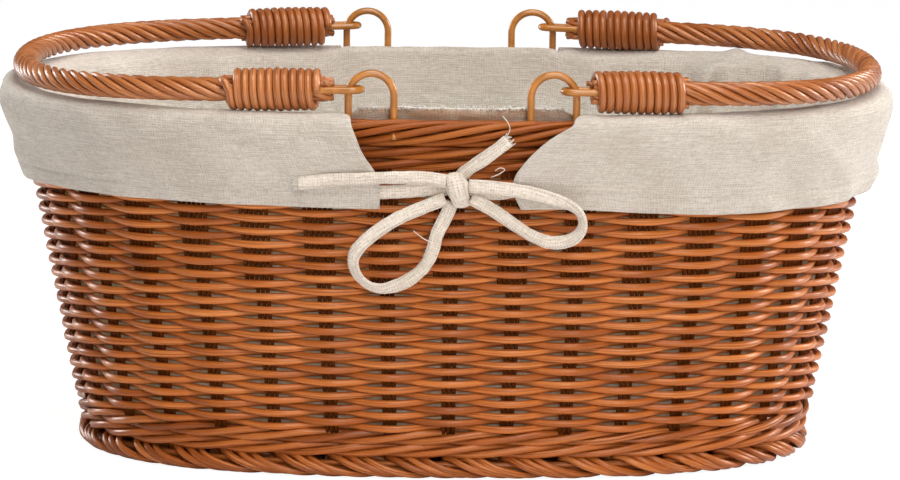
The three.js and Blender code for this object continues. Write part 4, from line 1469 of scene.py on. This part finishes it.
    def cuff_place(self, column, row):
        index = min(row - self.rim_rows, len(self.cuff_levels) - 1)
        height = CUFF_HEM + self.cuff_levels[index] * MM
        share = self.shifted_share(column, row, height)
        behind = abs(share - 0.5) < 0.25
        x = abs(OVAL.point(share, height, 0).x - FITTINGS_MIDDLE)
        if behind and x < GAP_HALF_WIDTH:
            top = CUFF_HEM + self.cuff_levels[0] * MM
            height = CUFF_HEM + (height - CUFF_HEM) * (self.notch_height(x) - CUFF_HEM) / (top - CUFF_HEM)
        if row >= self.hem_rows:
            turned = row - self.hem_rows
            return self.cuff_spot(share, height, -(1.3 + 0.2 * turned) * MM, turned * 2.4 * MM)
        spot = self.cuff_spot(share, height)
        for anchor in (self.front_right, self.front_left):
            away = abs(column - anchor)
            if away < len(self.edge_hem):
                spot += OVAL.normal(spot, height) * (self.edge_hem[away] * MM)
        return spot

    def cuff_spot(self, share, height, off=0.0, above=0.0):
        """A point on the face of the cuff, or a little off it or above."""
        outward = interpolate(self.cuff, (height - CUFF_HEM) / MM) * MM
        level = height + above - self.sag(share, height)
        return OVAL.point(share, level, outward + self.cuff_fold(share, height) + off)

    def is_open(self, column, row):
        """Whether the face that starts at a column and row lies in an opening."""
        after = column + 1
        at_front = after <= self.front_right or column >= self.front_left
        at_back = self.back_right <= column and after <= self.back_left
        if at_front:
            return row >= self.bag_rows - 1
        return at_back and self.bag_rows - 1 <= row < self.rim_rows

    def add_cloth(self, thickness, inside, outside):
        """The cloth as one grid, laid from the middle of the floor outwards and cut open at the edges."""
        shape = bmesh.new()
        across, up = self.columns, self.rows - 1
        made = bmesh.ops.create_grid(shape, x_segments=across, y_segments=up, size=0.5, calc_uvs=True)
        cell = {}
        for vertex in made["verts"]:
            cell[vertex] = (round((vertex.co.x + 0.5) * across), round((vertex.co.y + 0.5) * up))
        climbed = walked([self.place(self.map_column, row) for row in range(self.rows)])
        texture = shape.loops.layers.uv.verify()
        doomed = []
        for face in shape.faces:
            for loop in face.loops:
                column, row = cell[loop.vert]
                up_from_edge = climbed[row] - climbed[self.bag_rows - 1]
                loop[texture].uv = (LINER_GIRTH * column / self.columns, up_from_edge)
            first_column, first_row = (min(ends) for ends in zip(*(cell[vertex] for vertex in face.verts)))
            # The rows inside from the top wale up take the cuff's linen, its darker copy with painted shade
            face.material_index = int(first_row >= self.crisp_row)
            if self.is_open(first_column, first_row):
                doomed.append(face)
        for vertex, (column, row) in cell.items():
            vertex.co = self.place(column, row)
        bmesh.ops.delete(shape, geom=doomed, context="FACES")
        bmesh.ops.remove_doubles(shape, verts=shape.verts, dist=0.02 * MM)
        bmesh.ops.recalc_face_normals(shape, faces=shape.faces)
        mesh = mesh_of(shape, "liner")
        indices = [face.material_index for face in mesh.polygons]
        liner = finish_piece(mesh, inside, "basket", ("liner_floor", "liner_wall", "liner_cuff"))
        mesh.materials.append(outside)
        mesh.polygons.foreach_set("material_index", indices)
        soften = liner.modifiers.new("soften", "SUBSURF")
        soften.levels = 1
        soften.render_levels = 1
        thicken = liner.modifiers.new("thickness", "SOLIDIFY")
        thicken.thickness = thickness
        thicken.offset = 0
        return liner

    def add_stitches(self, material):
        """The seam of the hem that the tape runs in, as single stitches."""
        start = OVAL.share_at(24 * MM + FITTINGS_MIDDLE, self.seam_height, 0) + 0.002
        end = 1 - OVAL.share_at(36 * MM - FITTINGS_MIDDLE, self.seam_height, 0) - 0.002
        pitch = 3.1 * MM
        visible = 2.2 * MM
        count = int((end - start) * SEAM_GIRTH / pitch)
        stitches = []
        for n in range(count):
            share = start + (end - start) * n / count
            points = []
            for part, lift in ((0, -0.1), (0.2, 0.45), (0.5, 0.6), (0.8, 0.45), (1, -0.1)):
                along = share + part * visible / SEAM_GIRTH
                points.append(self.cuff_spot(along, self.seam_height, lift * MM))
            stitches.append(Rod(points))
        return rods_piece("liner_stitches", stitches, 0.5 * MM, material, sides=4)

    def add_fray(self, material):
        """Loose threads along the raw edge that stands behind the rim at the front."""
        draw = random.Random(11)
        threads = []
        leftmost = -OVAL.share_at(46 * MM - FITTINGS_MIDDLE, RIM_HIGH, 0)
        rightmost = OVAL.share_at(46 * MM + FITTINGS_MIDDLE, RIM_HIGH, 0)
        for _ in range(150):
            share = draw.uniform(leftmost, rightmost)
            base = RIM_HIGH + draw.uniform(3.2, 4.2) * MM
            lean = draw.uniform(-1.2, 1.2) * MM / OVAL.girth
            rise = draw.uniform(0.8, 2.2) * MM
            tilt = draw.uniform(-0.5, 0.9) * MM
            points = []
            for part in (0, 0.5, 1):
                outward = self.wall_stand + tilt * part
                points.append(OVAL.point(share + lean * part, base + rise * part, outward))
            threads.append(Rod(points))
        columns = range(self.front_left - self.columns + 1, self.front_right)
        edge = smooth_line([self.place(column, self.bag_rows - 1) for column in columns], MM)
        rolled = [2.6 + 1.2 * noise.noise(point * 240) for point in edge]
        threads.append(Rod(edge, False, rolled))
        return rods_piece("liner_fray", threads, 0.36 * MM, material, sides=4)


class BASKET_PT_sidebar(bpy.types.Panel):
    """Sizes, colours and the steps that make the basket"""

    bl_label = "Lined wicker basket"
    bl_idname = "BASKET_PT_sidebar"
    bl_space_type = "VIEW_3D"
    bl_region_type = "UI"
    bl_category = "Basket"

    def draw(self, context):
        layout = self.layout
        for group in (context.scene.basket_sizes, context.scene.basket_colours):
            for name in group.__annotations__:
                layout.prop(group, name)
        for step in STEPS:
            layout.operator(step.bl_idname)


STEPS = (
    BASKET_OT_stage,
    BASKET_OT_tie,
    BASKET_OT_weave,
    BASKET_OT_borders,
    BASKET_OT_base,
    BASKET_OT_handles,
    BASKET_OT_staples,
    BASKET_OT_liner,
)
CLASSES = (BasketSizes, BasketColours, *STEPS, BASKET_PT_sidebar)


def register():
    for item in CLASSES:
        bpy.utils.register_class(item)
    bpy.types.Scene.basket_sizes = PointerProperty(type=BasketSizes)
    bpy.types.Scene.basket_colours = PointerProperty(type=BasketColours)


def unregister():
    del bpy.types.Scene.basket_colours
    del bpy.types.Scene.basket_sizes
    for item in reversed(CLASSES):
        bpy.utils.unregister_class(item)


def main():
    register()
    bpy.ops.basket.stage()
    bpy.ops.basket.tie()
    bpy.ops.basket.weave()
    bpy.ops.basket.borders()
    bpy.ops.basket.base()
    bpy.ops.basket.handles()
    bpy.ops.basket.staples()
    bpy.ops.basket.liner()
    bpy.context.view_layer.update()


if __name__ == "__main__":
    main()
